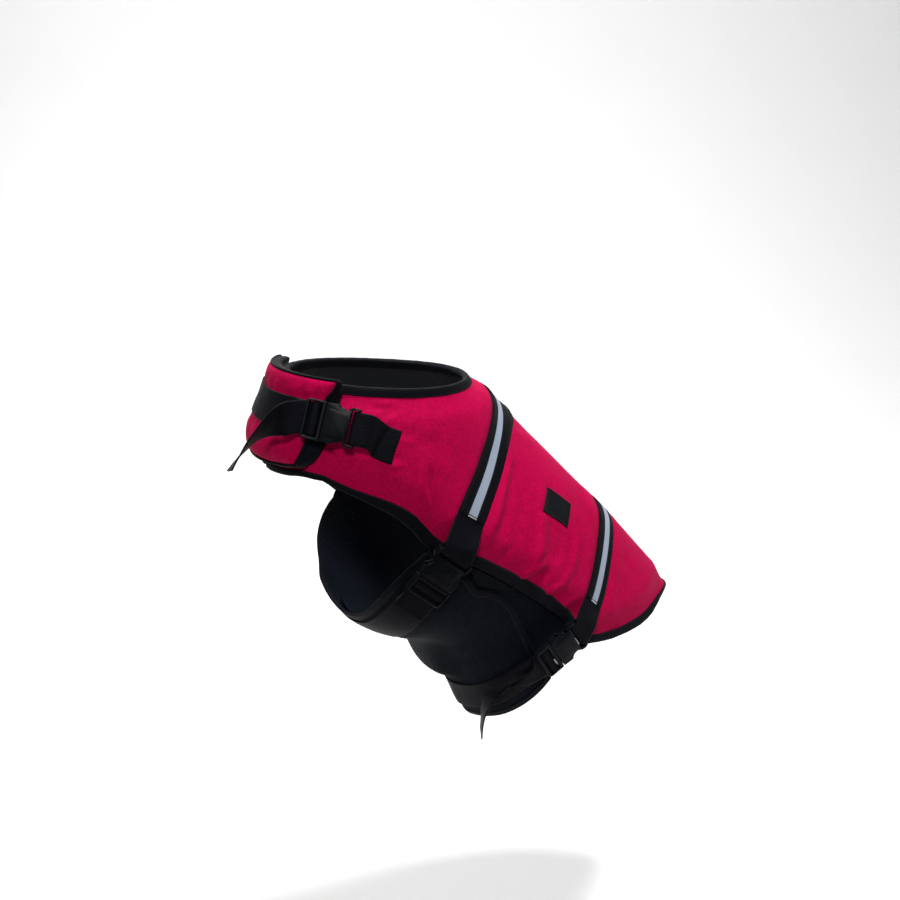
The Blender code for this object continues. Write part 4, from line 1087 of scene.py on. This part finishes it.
def make_chest():
    rows, cols = 76, 84
    s = np.linspace(PAD_LOW, PAD_HIGH, rows)[:, None]
    c = np.linspace(-1, 1, cols)[None, :]
    r = UNDERSIDE + c * table(PAD_SIDE, s)
    s = np.broadcast_to(s, r.shape)
    end_gap = (1.0 - np.abs(c)) * table(PAD_SIDE, s) * FRONT_DEGREE
    low_gap = (s - PAD_LOW) * FRONT_STRETCH
    high_gap = (PAD_HIGH - s) * FRONT_STRETCH
    edge = np.minimum(np.minimum(end_gap, low_gap), high_gap)
    away = np.abs(s - PAD_MIDDLE) * FRONT_STRETCH
    press = 1 - smooth((away - CHEST_WEB / 2 + 0.5) / 10.0)
    puff = np.sqrt(np.clip(1 - (1 - np.clip(edge / 14.0, 0, 1))**2, 0, 1))
    rim = PAD_EDGE - 1.2
    out = rim + (table(PAD_CROWN, s) - rim) * puff
    out = out + (np.minimum(out, table(PAD_PRESSED, s)) - out) * press
    pucker = np.sin(r * 0.55 + 1.3 * np.sin(r * 0.21)) * np.exp(-((away - 22.0) / 6.0)**2)
    out = out + 0.6 * pucker * smooth(edge / 9.0)
    out = out + 0.3 * ripple(s * 1.4, r * 1.5, 14, 34.0) * smooth(edge / 10.0) * (1 - press)
    uv = cloth_uv(s, r, FRONT_STRETCH, FRONT_DEGREE)

    index = np.arange(rows * cols).reshape(rows, cols)
    loop = list(index[0, :]) + list(index[1:, -1]) + list(index[-1, :-1][::-1]) + list(index[1:-1, 0][::-1])
    ring = np.stack([s.ravel(), r.ravel()], 1)[loop]
    top = out.ravel()[loop]
    spread = (table(PAD_BASE, ring[:, 0]) - table(PAD_SIDE, ring[:, 0])) * 1.75
    spread = np.where(np.abs(ring[:, 1] - UNDERSIDE) > table(PAD_SIDE, ring[:, 0]) - 0.01, spread, 0.0)
    for _ in range(4):
        spread = (np.roll(spread, 1) + spread + np.roll(spread, -1)) / 3
    base = np.stack([s.ravel(), r.ravel()], 1)
    base[loop] += edge_lead(ring, True) * (spread - 0.2)[:, None]
    obj = shell("chest_float_padded", at(base[:, 0], base[:, 1], np.full(len(base), PAD_IN)),
                at(s, r, out).reshape(-1, 3), grid_faces(rows, cols), [RED, LINING], uv)
    own(obj, "chest_float", slot="red_oxford_cloth")

    def profile(i):
        t = top[i]
        w = spread[i]
        wall = [(0.3 + w, PAD_IN - 0.2), (1.2 + w, PAD_IN), (1.8 + 0.82 * w, PAD_IN + 2.2),
                (2.0 + 0.58 * w, PAD_IN + 4.6), (1.6 + 0.22 * w, t - 2.6), (1.25, t - 1.3)]
        cord = [(1.0 + 1.35 * math.cos(a), t + 0.35 + 1.35 * math.sin(a))
                for a in np.radians((-35, 0, 35, 70, 105, 140, 175, 205))]
        back = [(-0.2, t - 1.0), (0.2 + 0.25 * w, t - 3.0), (0.3 + 0.7 * w, PAD_IN + 3.0)]
        return wall + cord + back

    obj = tape_edge("chest_float_gusset_and_piping", ring, profile, True, SMOOTH, 27)
    own(obj, "chest_float_gusset", slot="black_binding")


# ------------------------------------------------------------------ buckles
# length of the socket half and of the whole buckle, mm; the chest buckle is foreshortened to its place
FEMALE = 35.0
BUCKLE = 56.0
CHEST_SHORT = 0.965


def buckle_frame(start, end, length):
    a = at(*start)
    b = at(*end)
    ax = unit(b - a)
    n = outward((start[0] + end[0]) / 2, (start[1] + end[1]) / 2)
    ay = unit(np.cross(n, ax))
    return a, ax * length, ay, np.cross(ax, ay)


REAR_BUCKLE = buckle_frame((168.3, 91.9, 18.5), (179.3, 115.1, 14.5), 1.0)
FRONT_BUCKLE = buckle_frame((370.1, 101.6, 18.5), (364.2, 122.7, 14.5), 1.0)
CHEST_BUCKLE = buckle_frame((505.8, 123.4, 26.2), (513.3, 147.95, 34.0), CHEST_SHORT)


def rounded(points, radius, steps=5):
    """Outline with its corners rounded: radius is one number or one for each corner."""
    points = np.asarray(points, float)
    n = len(points)
    radii = [radius] * n if isinstance(radius, (int, float)) else radius
    out = []
    for i in range(n):
        p = points[i]
        a = points[i - 1] - p
        b = points[(i + 1) % n] - p
        r = min(radii[i], 0.49 * np.linalg.norm(a), 0.49 * np.linalg.norm(b))
        if r < 0.05:
            out.append(tuple(p))
            continue
        a = p + unit(a) * r
        b = p + unit(b) * r
        for t in np.linspace(0, 1, steps):
            q = (1 - t)**2 * a + 2 * t * (1 - t) * p + t * t * b
            out.append(tuple(q))
    return out


def plate(outlines, z0, z1, bevel):
    """Solid between z0 and z1 from outlines in mm, the first outside, the rest holes."""
    curve = bpy.data.curves.new("plate", "CURVE")
    curve.dimensions = "2D"
    curve.fill_mode = "BOTH"
    curve.extrude = (z1 - z0) / 2 - bevel
    curve.bevel_depth = bevel
    curve.bevel_resolution = 2
    curve.offset = -bevel
    for outline in outlines:
        line = curve.splines.new("POLY")
        line.points.add(len(outline) - 1)
        for point, (x, y) in zip(line.points, outline):
            point.co = (x, y, 0, 1)
        line.use_cyclic_u = True
    obj = bpy.data.objects.new("plate", curve)
    bpy.context.scene.collection.objects.link(obj)
    deps = bpy.context.evaluated_depsgraph_get()
    mesh = bpy.data.meshes.new_from_object(obj.evaluated_get(deps))
    bpy.data.objects.remove(obj, do_unlink=True)
    bpy.data.curves.remove(curve)
    points = np.empty(len(mesh.vertices) * 3)
    mesh.vertices.foreach_get("co", points)
    points = points.reshape(-1, 3)
    points[:, 2] += (z0 + z1) / 2
    faces = [list(p.vertices) for p in mesh.polygons]
    bpy.data.meshes.remove(mesh)
    return points, faces


def block(x0, x1, y0, y1, z0, z1, corner=0.8, bevel=0.45):
    outline = rounded([(x0, y0), (x1, y0), (x1, y1), (x0, y1)], corner)
    return plate([outline], z0, z1, bevel)


def gather(name, parts, place, look):
    """Solids in a buckle's own frame, joined as one piece in the jacket's frame."""
    origin, ax, ay, az = place
    points = []
    faces = []
    for p, f in parts:
        base = sum(len(q) for q in points)
        points.append(p)
        faces += [[base + i for i in face] for face in f]
    local = np.concatenate(points)
    world = origin + local @ np.stack([ax, ay, az])
    obj = add_mesh(name, world, faces, [look], local[:, :2])
    bm = bmesh.new()
    bm.from_mesh(obj.data)
    bmesh.ops.remove_doubles(bm, verts=bm.verts[:], dist=2e-6)
    bmesh.ops.recalc_face_normals(bm, faces=bm.faces[:])
    bm.to_mesh(obj.data)
    bm.free()
    obj.data.set_sharp_from_angle(angle=math.radians(32))
    return obj


def arc(cx, cy, rx, ry, a0, a1, n):
    return [(cx + rx * math.cos(t), cy + ry * math.sin(t)) for t in np.radians(np.linspace(a0, a1, n))]


def twins(x0, x1, y, half, z0, z1, corner=0.8):
    """Two equal blocks, one at each side of the buckle, 2 * half wide."""
    return [block(x0, x1, side * y - half, side * y + half, z0, z1, corner) for side in (1, -1)]


def make_buckle(name, width, place):
    """Side-release buckle: x from the socket's bar to the ladder, y across, z off the body."""
    w = width / 2
    face = 4.7
    inside = 2.6
    cavity = 3.2
    ear = arc(14.5, w + 3.2, 7.7, 4.4, 180, 360, 15)
    top = [(0.0, w + 1.3), (2.0, w + 3.0), (6.2, w + 3.2)] + ear
    top += [(26.0, w + 3.2), (FEMALE, w + 2.2)]
    low = [(x, -y) for x, y in reversed(top)]
    notch = [(0.4, -w - 0.5), (8.6, -w - 0.5), (8.6, w + 0.5), (0.4, w + 0.5)]
    outline = rounded(top + low + notch, 0.9, 3)
    # the socket's two plates, open over the webbing bar, and the walls between them
    parts = [plate([outline], inside, face, 0.6), plate([outline], -face, -inside, 0.6)]
    parts += twins(25.5, FEMALE - 0.4, w + 1.2, 1.2, -cavity, cavity)
    parts += twins(8.2, 11.8, w + 0.4, 1.6, -cavity, cavity)
    parts.append(block(8.7, 11.4, -w - 0.6, w + 0.6, -cavity, cavity))
    # webbing bar and its cheeks
    parts.append(block(0.1, 4.1, -w - 1.0, w + 1.0, -1.7, 1.7, 1.2, 0.9))
    parts += twins(0.6, 9.5, w + 1.9, 1.1, -4.2, 4.2, 0.9)
    # raised field and grip lines on the face
    field = rounded([(11.5, -w + 5.0), (32.5, -w + 2.4), (32.5, w - 2.4), (11.5, w - 5.0)], 3.0, 5)
    parts.append(plate([field], 4.4, 5.15, 0.35))
    for x in (26.4, 28.6, 30.8):
        parts.append(block(x - 0.45, x + 0.45, -w + 5.5, w - 5.5, 4.9, 5.5, 0.4, 0.25))
    obj = gather(name + "_socket_shell", parts, place, PLASTIC)
    own(obj, name + "_socket", slot="black_buckle_plastic")

    # the latch's frame, its cross wall, side rails and ladder bar
    rail = w + 3.1
    frame_out = rounded([(FEMALE + 0.5, -rail), (BUCKLE, -rail + 0.6), (BUCKLE, rail - 0.6),
                         (FEMALE + 0.5, rail)], (1.2, 4.4, 4.4, 1.2), 7)
    opening = rounded([(39.6, -w - 0.6), (52.6, -w - 0.6), (52.6, w + 0.6), (39.6, w + 0.6)], 1.4, 4)
    parts = [plate([frame_out, opening], 0.7, 4.3, 1.0)]
    parts.append(block(FEMALE + 0.5, 39.5, -rail, rail, -4.3, 1.4, 1.2, 0.8))
    parts += twins(38.6, BUCKLE - 1.4, w + 1.85, 1.2, -3.8, 1.6, 1.1)
    parts.append(block(44.3, 47.0, -w - 1.2, w + 1.2, -1.5, 1.5, 1.0, 0.8))
    # middle tongue, and the prongs with their catches in the socket's side dips
    parts.append(block(13.8, 36.4, -2.1, 2.1, -2.2, 2.2, 1.6))
    prong = [(12.6, w - 3.4), (15.5, w + 0.2), (20.5, w + 1.2), (23.5, w - 0.6), (25.0, w - 1.7),
             (36.4, w - 1.5), (36.4, w - 5.6), (17.0, w - 5.4)]
    for side in (1, -1):
        placed = [(x, side * y) for x, y in prong][::side]
        parts.append(plate([rounded(placed, 1.6, 5)], -2.25, 2.25, 0.6))
    obj = gather(name + "_latch_frame", parts, place, PLASTIC)
    own(obj, name + "_latch", slot="black_buckle_plastic")


# ------------------------------------------------------------------ webbing
BIND_TOP = PANEL_IN + PANEL_EDGE + LIP_GAP + TAPE
# stations across a strap, as shares of its width
ACROSS = np.linspace(-0.5, 0.5, 5)
# routes through a buckle, x and z in its own frame
SOCKET_WRAP = ((-13.0, 1.1), (-2.0, 2.95), (4.2, 2.95), (6.3, 1.3), (6.3, -1.3), (4.2, -2.95),
               (-2.0, -2.95), (-10.0, -1.2))
LADDER_WRAP = ((BUCKLE + 6.0, -3.9), (51.8, -3.5), (43.7, -3.5), (41.5, -1.3), (41.5, 1.3),
               (43.5, 2.9), (47.8, 2.9), (49.8, 1.1), (51.0, -0.4), (52.8, -0.85),
               (BUCKLE + 1.5, -0.9))
SHORT_TAIL = ((BUCKLE + 8.0, -1.3), (BUCKLE + 22.0, -1.9))


def laid_rows(line, turns, width, cover):
    """Control rows across webbing laid on the body along a line."""
    turns = np.asarray(turns, float)
    along = line_at(line, turns)
    p = coat(along, turns)
    n = outward(along, turns)
    side = unit(np.cross(np.gradient(p, axis=0), n))
    lead = surface_step(along, turns, side)
    share = ACROSS * width
    s = along[:, None] + lead[:, 0, None] * share
    r = turns[:, None] + lead[:, 1, None] * share
    return at(s, r, cover(s, r, turns))


def free_rows(place, path, width, tail=(), turn=1.0):
    """Control rows through a buckle along its local path, then along a free tail."""
    origin, ax, ay, az = place
    centre = [origin + ax * x + az * z for x, z in path] + [np.array(row[:3]) for row in tail]
    ends = [np.array(row[3:]) for row in tail]
    same = np.sign(np.dot(ay, ends[0])) if ends else 1.0
    side = unit(np.array([turn * ay] * len(path) + [same * end for end in ends]))
    return np.array(centre)[:, None] + side[:, None] * (ACROSS * width)[None, :, None]


def sewn(name, node, rows, width, rests, step, wear, seed, thick=WEB, look=WEBBING, slot="black_webbing"):
    """A strap or ribbon held stretched along its route."""
    obj, length = strip(name, rows, width, thick, look, step, 15, wear, seed)
    own(obj, node, slot=slot)
    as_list(rests)


def girth_strap(name, node, line, width, place, hem, shift, slant):
    low = BELLY_IN + MESH + 2 * WEB + 1.9 + WEB / 2
    over = BIND_TOP + 0.55 + WEB / 2
    turns = list(np.linspace(-(hem + 18), -(hem - 12), 15)) + list(np.linspace(-(hem - 16), hem - 14, 50))

    def cover(s, r, _):
        past = np.abs(r) - side_hem(s)
        high = panel_height(s, r) + GIRTH_LAID + WEB / 2
        ramp = over - (over - low) * smooth((past - 1.5) / 6.5)
        lip = np.where(past > -5.0, np.maximum(high, over), high)
        return np.where(past > 1.5, ramp, lip)

    # last row before the socket's bar, which the webbing nears from one side
    origin, ax, ay, az = place
    tilt = math.radians(slant)
    way = ax * math.sin(tilt) - ay * math.cos(tilt)
    lead = origin - ax * 9.5 - ay * shift + az * 1.6 + way[None] * (ACROSS * width)[:, None]
    rows = np.concatenate([laid_rows(line, turns, width, cover), lead[None],
                           free_rows(place, SOCKET_WRAP[1:], width, turn=-1.0)])
    sewn(name, node, rows, width, ["back_panel_padded"], 2.0, 0.12, 5)


def belly_strap(name, node, line, width, place, hem, tail):
    turns = np.linspace(-(hem + 7), -228.0, 46)

    def cover(s, r, _):
        return flap_height(s, r) + MESH + BELLY_LAID + WEB / 2

    path = LADDER_WRAP if len(tail) else LADDER_WRAP + SHORT_TAIL
    rows = np.concatenate([laid_rows(line, turns, width, cover), free_rows(place, path, width, tail)])
    sewn(name, node, rows, width, ["belly_right_mesh"], 2.0, 0.12, 7)


def make_chest_web():
    corner = PAD_EDGE + 3.6 + WEB / 2
    # least height off the coat at each turn on the way from the right shoulder onto the float
    run = ((-104.0, 0.0), (-109.0, 0.0), (-114.0, 14.9), (-119.0, 15.8), (-126.0, 18.6), (-133.0, 22.6),
           (-139.0, 25.4), (-143.0, corner + 0.3), (-148.0, corner), (-153.0, 0.0))
    turns = [turn for turn, _ in run] + list(np.linspace(-159.0, -198.0, 12)) + [-203.0]
    base = np.zeros(len(turns))
    base[:len(run)] = [high for _, high in run]
    lift = np.full(len(turns), 0.3)
    lift[-1] = 1.2

    def cover(s, r, t):
        high = panel_height(s, np.clip(r, -150, 150)) + CHEST_LAID + WEB / 2
        face = table(PAD_PRESSED, s) + WEB / 2 + lift[:, None]
        turn = np.abs(t)[:, None]
        return np.maximum(base[:, None], np.where(turn < 135, high, np.where(turn < 142, 0.0, face)))

    rows = np.concatenate([laid_rows(CHEST_LINE, turns, CHEST_WEB, cover),
                           free_rows(CHEST_BUCKLE, LADDER_WRAP, CHEST_WEB, CHEST_TAIL)])
    sewn("chest_webbing", "chest_strap", rows, CHEST_WEB, ["chest_float_padded", "back_panel_padded"],
         1.8, 0.1, 8)

    def tab_cover(s, r, _):
        return panel_height(s, r) + CHEST_LAID + WEB / 2

    turns = [104.3, 106.0, 107.5, 109.0, 110.5, 112.0]
    rows = np.concatenate([laid_rows(CHEST_LINE, turns, CHEST_WEB, tab_cover),
                           free_rows(CHEST_BUCKLE, SOCKET_WRAP, CHEST_WEB, turn=-1.0)])
    sewn("shoulder_tab_webbing", "shoulder_tab", rows, CHEST_WEB, ["back_panel_padded"], 1.5, 0.08, 9)


def make_reflect(name, node, line, sizes, reach):
    """Reflective ribbon on a girth strap, as far as reach degrees to either side."""
    def cover(s, r, _):
        return panel_height(s, r) + GIRTH_LAID + WEB + 0.1 + REFLECT_THICK / 2

    width, bright = sizes
    rows = laid_rows(line, np.linspace(-reach, reach, 60), width, cover)
    look = reflective(node + "_weave", bright, spline(rows, 60)[1])
    sewn(name, node, rows, width, ["back_panel_padded"], 2.0, 0.1, 6, REFLECT_THICK, look,
         "reflective_tape")


# ------------------------------------------------------------------ small pieces
def make_label():
    corners = np.array([[(285, 47), (242.2, 44.3)], [(285.4, 61.4), (242.8, 58.9)]], float)
    n = 40
    v, u = np.meshgrid(np.linspace(0, 1, n), np.linspace(0, 1, n), indexing="ij")
    ends = corners[:, 0, :, None, None] * (1 - u) + corners[:, 1, :, None, None] * u
    s, r = ends[0] * (1 - v) + ends[1] * v
    rim = np.minimum(np.minimum(u, 1 - u) * LABEL_WIDE, np.minimum(v, 1 - v) * LABEL_HIGH)
    border = np.exp(-((rim - 1.3) / 1.0)**4)
    base = panel_height(s, r) + 0.15
    top = base + 0.75 + 0.55 * border
    uv = np.stack([(u * LABEL_WIDE).ravel(), (v * LABEL_HIGH).ravel()], 1)
    obj = patch("label_patch_woven", s, r, base, top, [LABEL], uv)
    own(obj, "label_patch", slot="label_cloth")


def make_side_patch():
    v = np.linspace(0, 1, 16)[:, None]
    u = np.linspace(0, 1, 40)[None, :]
    s0 = 341 + (272 - 341) * u
    s1 = 317 + (273 - 317) * u
    top = side_hem(s0) + 1.2
    low = np.minimum(108.3 + (101.5 - 108.3) * u, table(FLAP_TOP, s1) - 1.7)
    s = s0 + (s1 - s0) * v
    r = top + (low - top) * v
    base = BELLY_IN + MESH + 0.3 + 0.0 * s
    obj = patch("side_patch_smooth", s, r, base, base + 1.0, [SMOOTH], cloth_uv(s, r))
    own(obj, "side_patch", slot="black_binding")


def make_loop():
    edge = REAR_HEM[1][1]
    width = 8.0
    # (mm past the hem, mm off the coat) along the loop
    path = ((1.9, 8.0), (4.6, 8.6), (6.8, 7.0), (7.4, 4.2), (6.8, 1.6), (4.6, 0.2), (1.9, 0.8))
    centre = np.array([at(edge - over, 0.0, out) for over, out in path])
    rows = centre[:, None] + np.array([0.0, 1.0, 0.0]) * (ACROSS * width)[None, :, None]
    obj, _ = strip("rear_loop_tape", rows, width, 1.0, BINDING, 0.8, 9, 0.05, 3)
    own(obj, "rear_loop", slot="black_binding")


# ------------------------------------------------------------------ studio, in metres
CAMERA_TURN = math.radians(-30.0)
CAMERA_RISE = math.radians(16.0)
CAMERA_AWAY = 1.43
CAMERA_LENS = 52.0
CAMERA_SENSOR = 36.0
FLOOR_Z = -0.62
FLOOR_NEAR = -0.45
FLOOR_FAR = 1.6
FLOOR_HALF = 2.6
WALL_CURVE = 1.2
WALL_TOP = 5.0
WORLD_STRENGTH = 0.08
LAMP_AIM_DROP = 0.05
LAMPS = (
    # name, place, size, watts
    ("top", (0.4, -0.25, 2.3), (0.45, 0.45), 70),
    ("left", (-1.3, -1.75, 1.55), (0.4, 0.4), 35),
    ("floor_light", (0.0, 2.2, 2.4), (2.4, 2.0), 84),
)


def add_lamp(name, place, size, power, aim):
    light = bpy.data.lights.new(name, "AREA")
    light.shape = "RECTANGLE"
    light.size = size[0]
    light.size_y = size[1]
    light.energy = power
    obj = bpy.data.objects.new(name, light)
    bpy.context.scene.collection.objects.link(obj)
    obj.location = place
    obj.rotation_euler = (aim - Vector(place)).to_track_quat("-Z", "Y").to_euler()


def make_studio():
    scene = bpy.context.scene
    look = Vector(-HELD * MM)
    back = Vector((math.sin(CAMERA_TURN) * math.cos(CAMERA_RISE),
                   -math.cos(CAMERA_TURN) * math.cos(CAMERA_RISE),
                   math.sin(CAMERA_RISE)))
    data = bpy.data.cameras.new("camera")
    data.lens = CAMERA_LENS
    data.sensor_width = CAMERA_SENSOR
    cam = bpy.data.objects.new("camera", data)
    scene.collection.objects.link(cam)
    cam.location = look + back * CAMERA_AWAY
    cam.rotation_euler = (-back).to_track_quat("-Z", "Y").to_euler()
    scene.camera = cam

    # floor that turns up into a backdrop
    profile = [(FLOOR_NEAR, 0.0), (FLOOR_FAR, 0.0)]
    profile += [(FLOOR_FAR + WALL_CURVE * math.sin(a), WALL_CURVE - WALL_CURVE * math.cos(a))
                for a in np.radians(np.linspace(9, 90, 10))]
    profile.append((FLOOR_FAR + WALL_CURVE, WALL_TOP))
    away = Vector((-back.x, -back.y, 0)).normalized()
    across = Vector((away.y, -away.x, 0))
    points = []
    for side in (-FLOOR_HALF, FLOOR_HALF):
        for x, z in profile:
            p = look + away * x + across * side
            points.append((p.x, p.y, FLOOR_Z + z))
    k = len(profile)
    faces = [(i, i + 1, k + i + 1, k + i) for i in range(k - 1)]
    mesh = bpy.data.meshes.new("studio_sweep")
    mesh.from_pydata(points, [], faces)
    mesh.polygons.foreach_set("use_smooth", [True] * len(mesh.polygons))
    mesh.materials.append(ground())
    sweep = bpy.data.objects.new("studio_sweep", mesh)
    scene.collection.objects.link(sweep)

    scene.view_settings.view_transform = "Standard"
    world = bpy.data.worlds.new("studio_light")
    world.use_nodes = True
    shade = world.node_tree.nodes["Background"]
    shade.inputs["Color"].default_value = (1.0, 1.0, 1.0, 1.0)
    shade.inputs["Strength"].default_value = WORLD_STRENGTH
    scene.world = world
    for name, place, size, power in LAMPS:
        add_lamp(name, place, size, power, look + Vector((0, 0, -LAMP_AIM_DROP)))


make_studio()
make_panel()
make_back_binding()
make_belly()
make_chest()
make_buckle("chest_buckle", CHEST_WEB, CHEST_BUCKLE)
make_buckle("front_buckle", FRONT_WEB, FRONT_BUCKLE)
make_buckle("rear_buckle", REAR_WEB, REAR_BUCKLE)
girth_strap("front_girth_webbing", "front_strap", FRONT_LINE, FRONT_WEB, FRONT_BUCKLE, 102.0, 2.0, 10.0)
girth_strap("rear_girth_webbing", "rear_strap", REAR_LINE, REAR_WEB, REAR_BUCKLE, 91.0, 3.4, 18.0)
belly_strap("front_belly_webbing", "front_belly_strap", FRONT_LINE, FRONT_WEB, FRONT_BUCKLE, 102.0, ())
belly_strap("rear_belly_webbing", "rear_belly_strap", REAR_LINE, REAR_WEB, REAR_BUCKLE, 91.0, REAR_TAIL)
make_chest_web()
make_reflect("front_reflective_ribbon", "front_reflective_tape", FRONT_LINE, FRONT_REFLECT, 85.5)
make_reflect("rear_reflective_ribbon", "rear_reflective_tape", REAR_LINE, REAR_REFLECT, 76.0)
make_label()
make_side_patch()
make_loop()
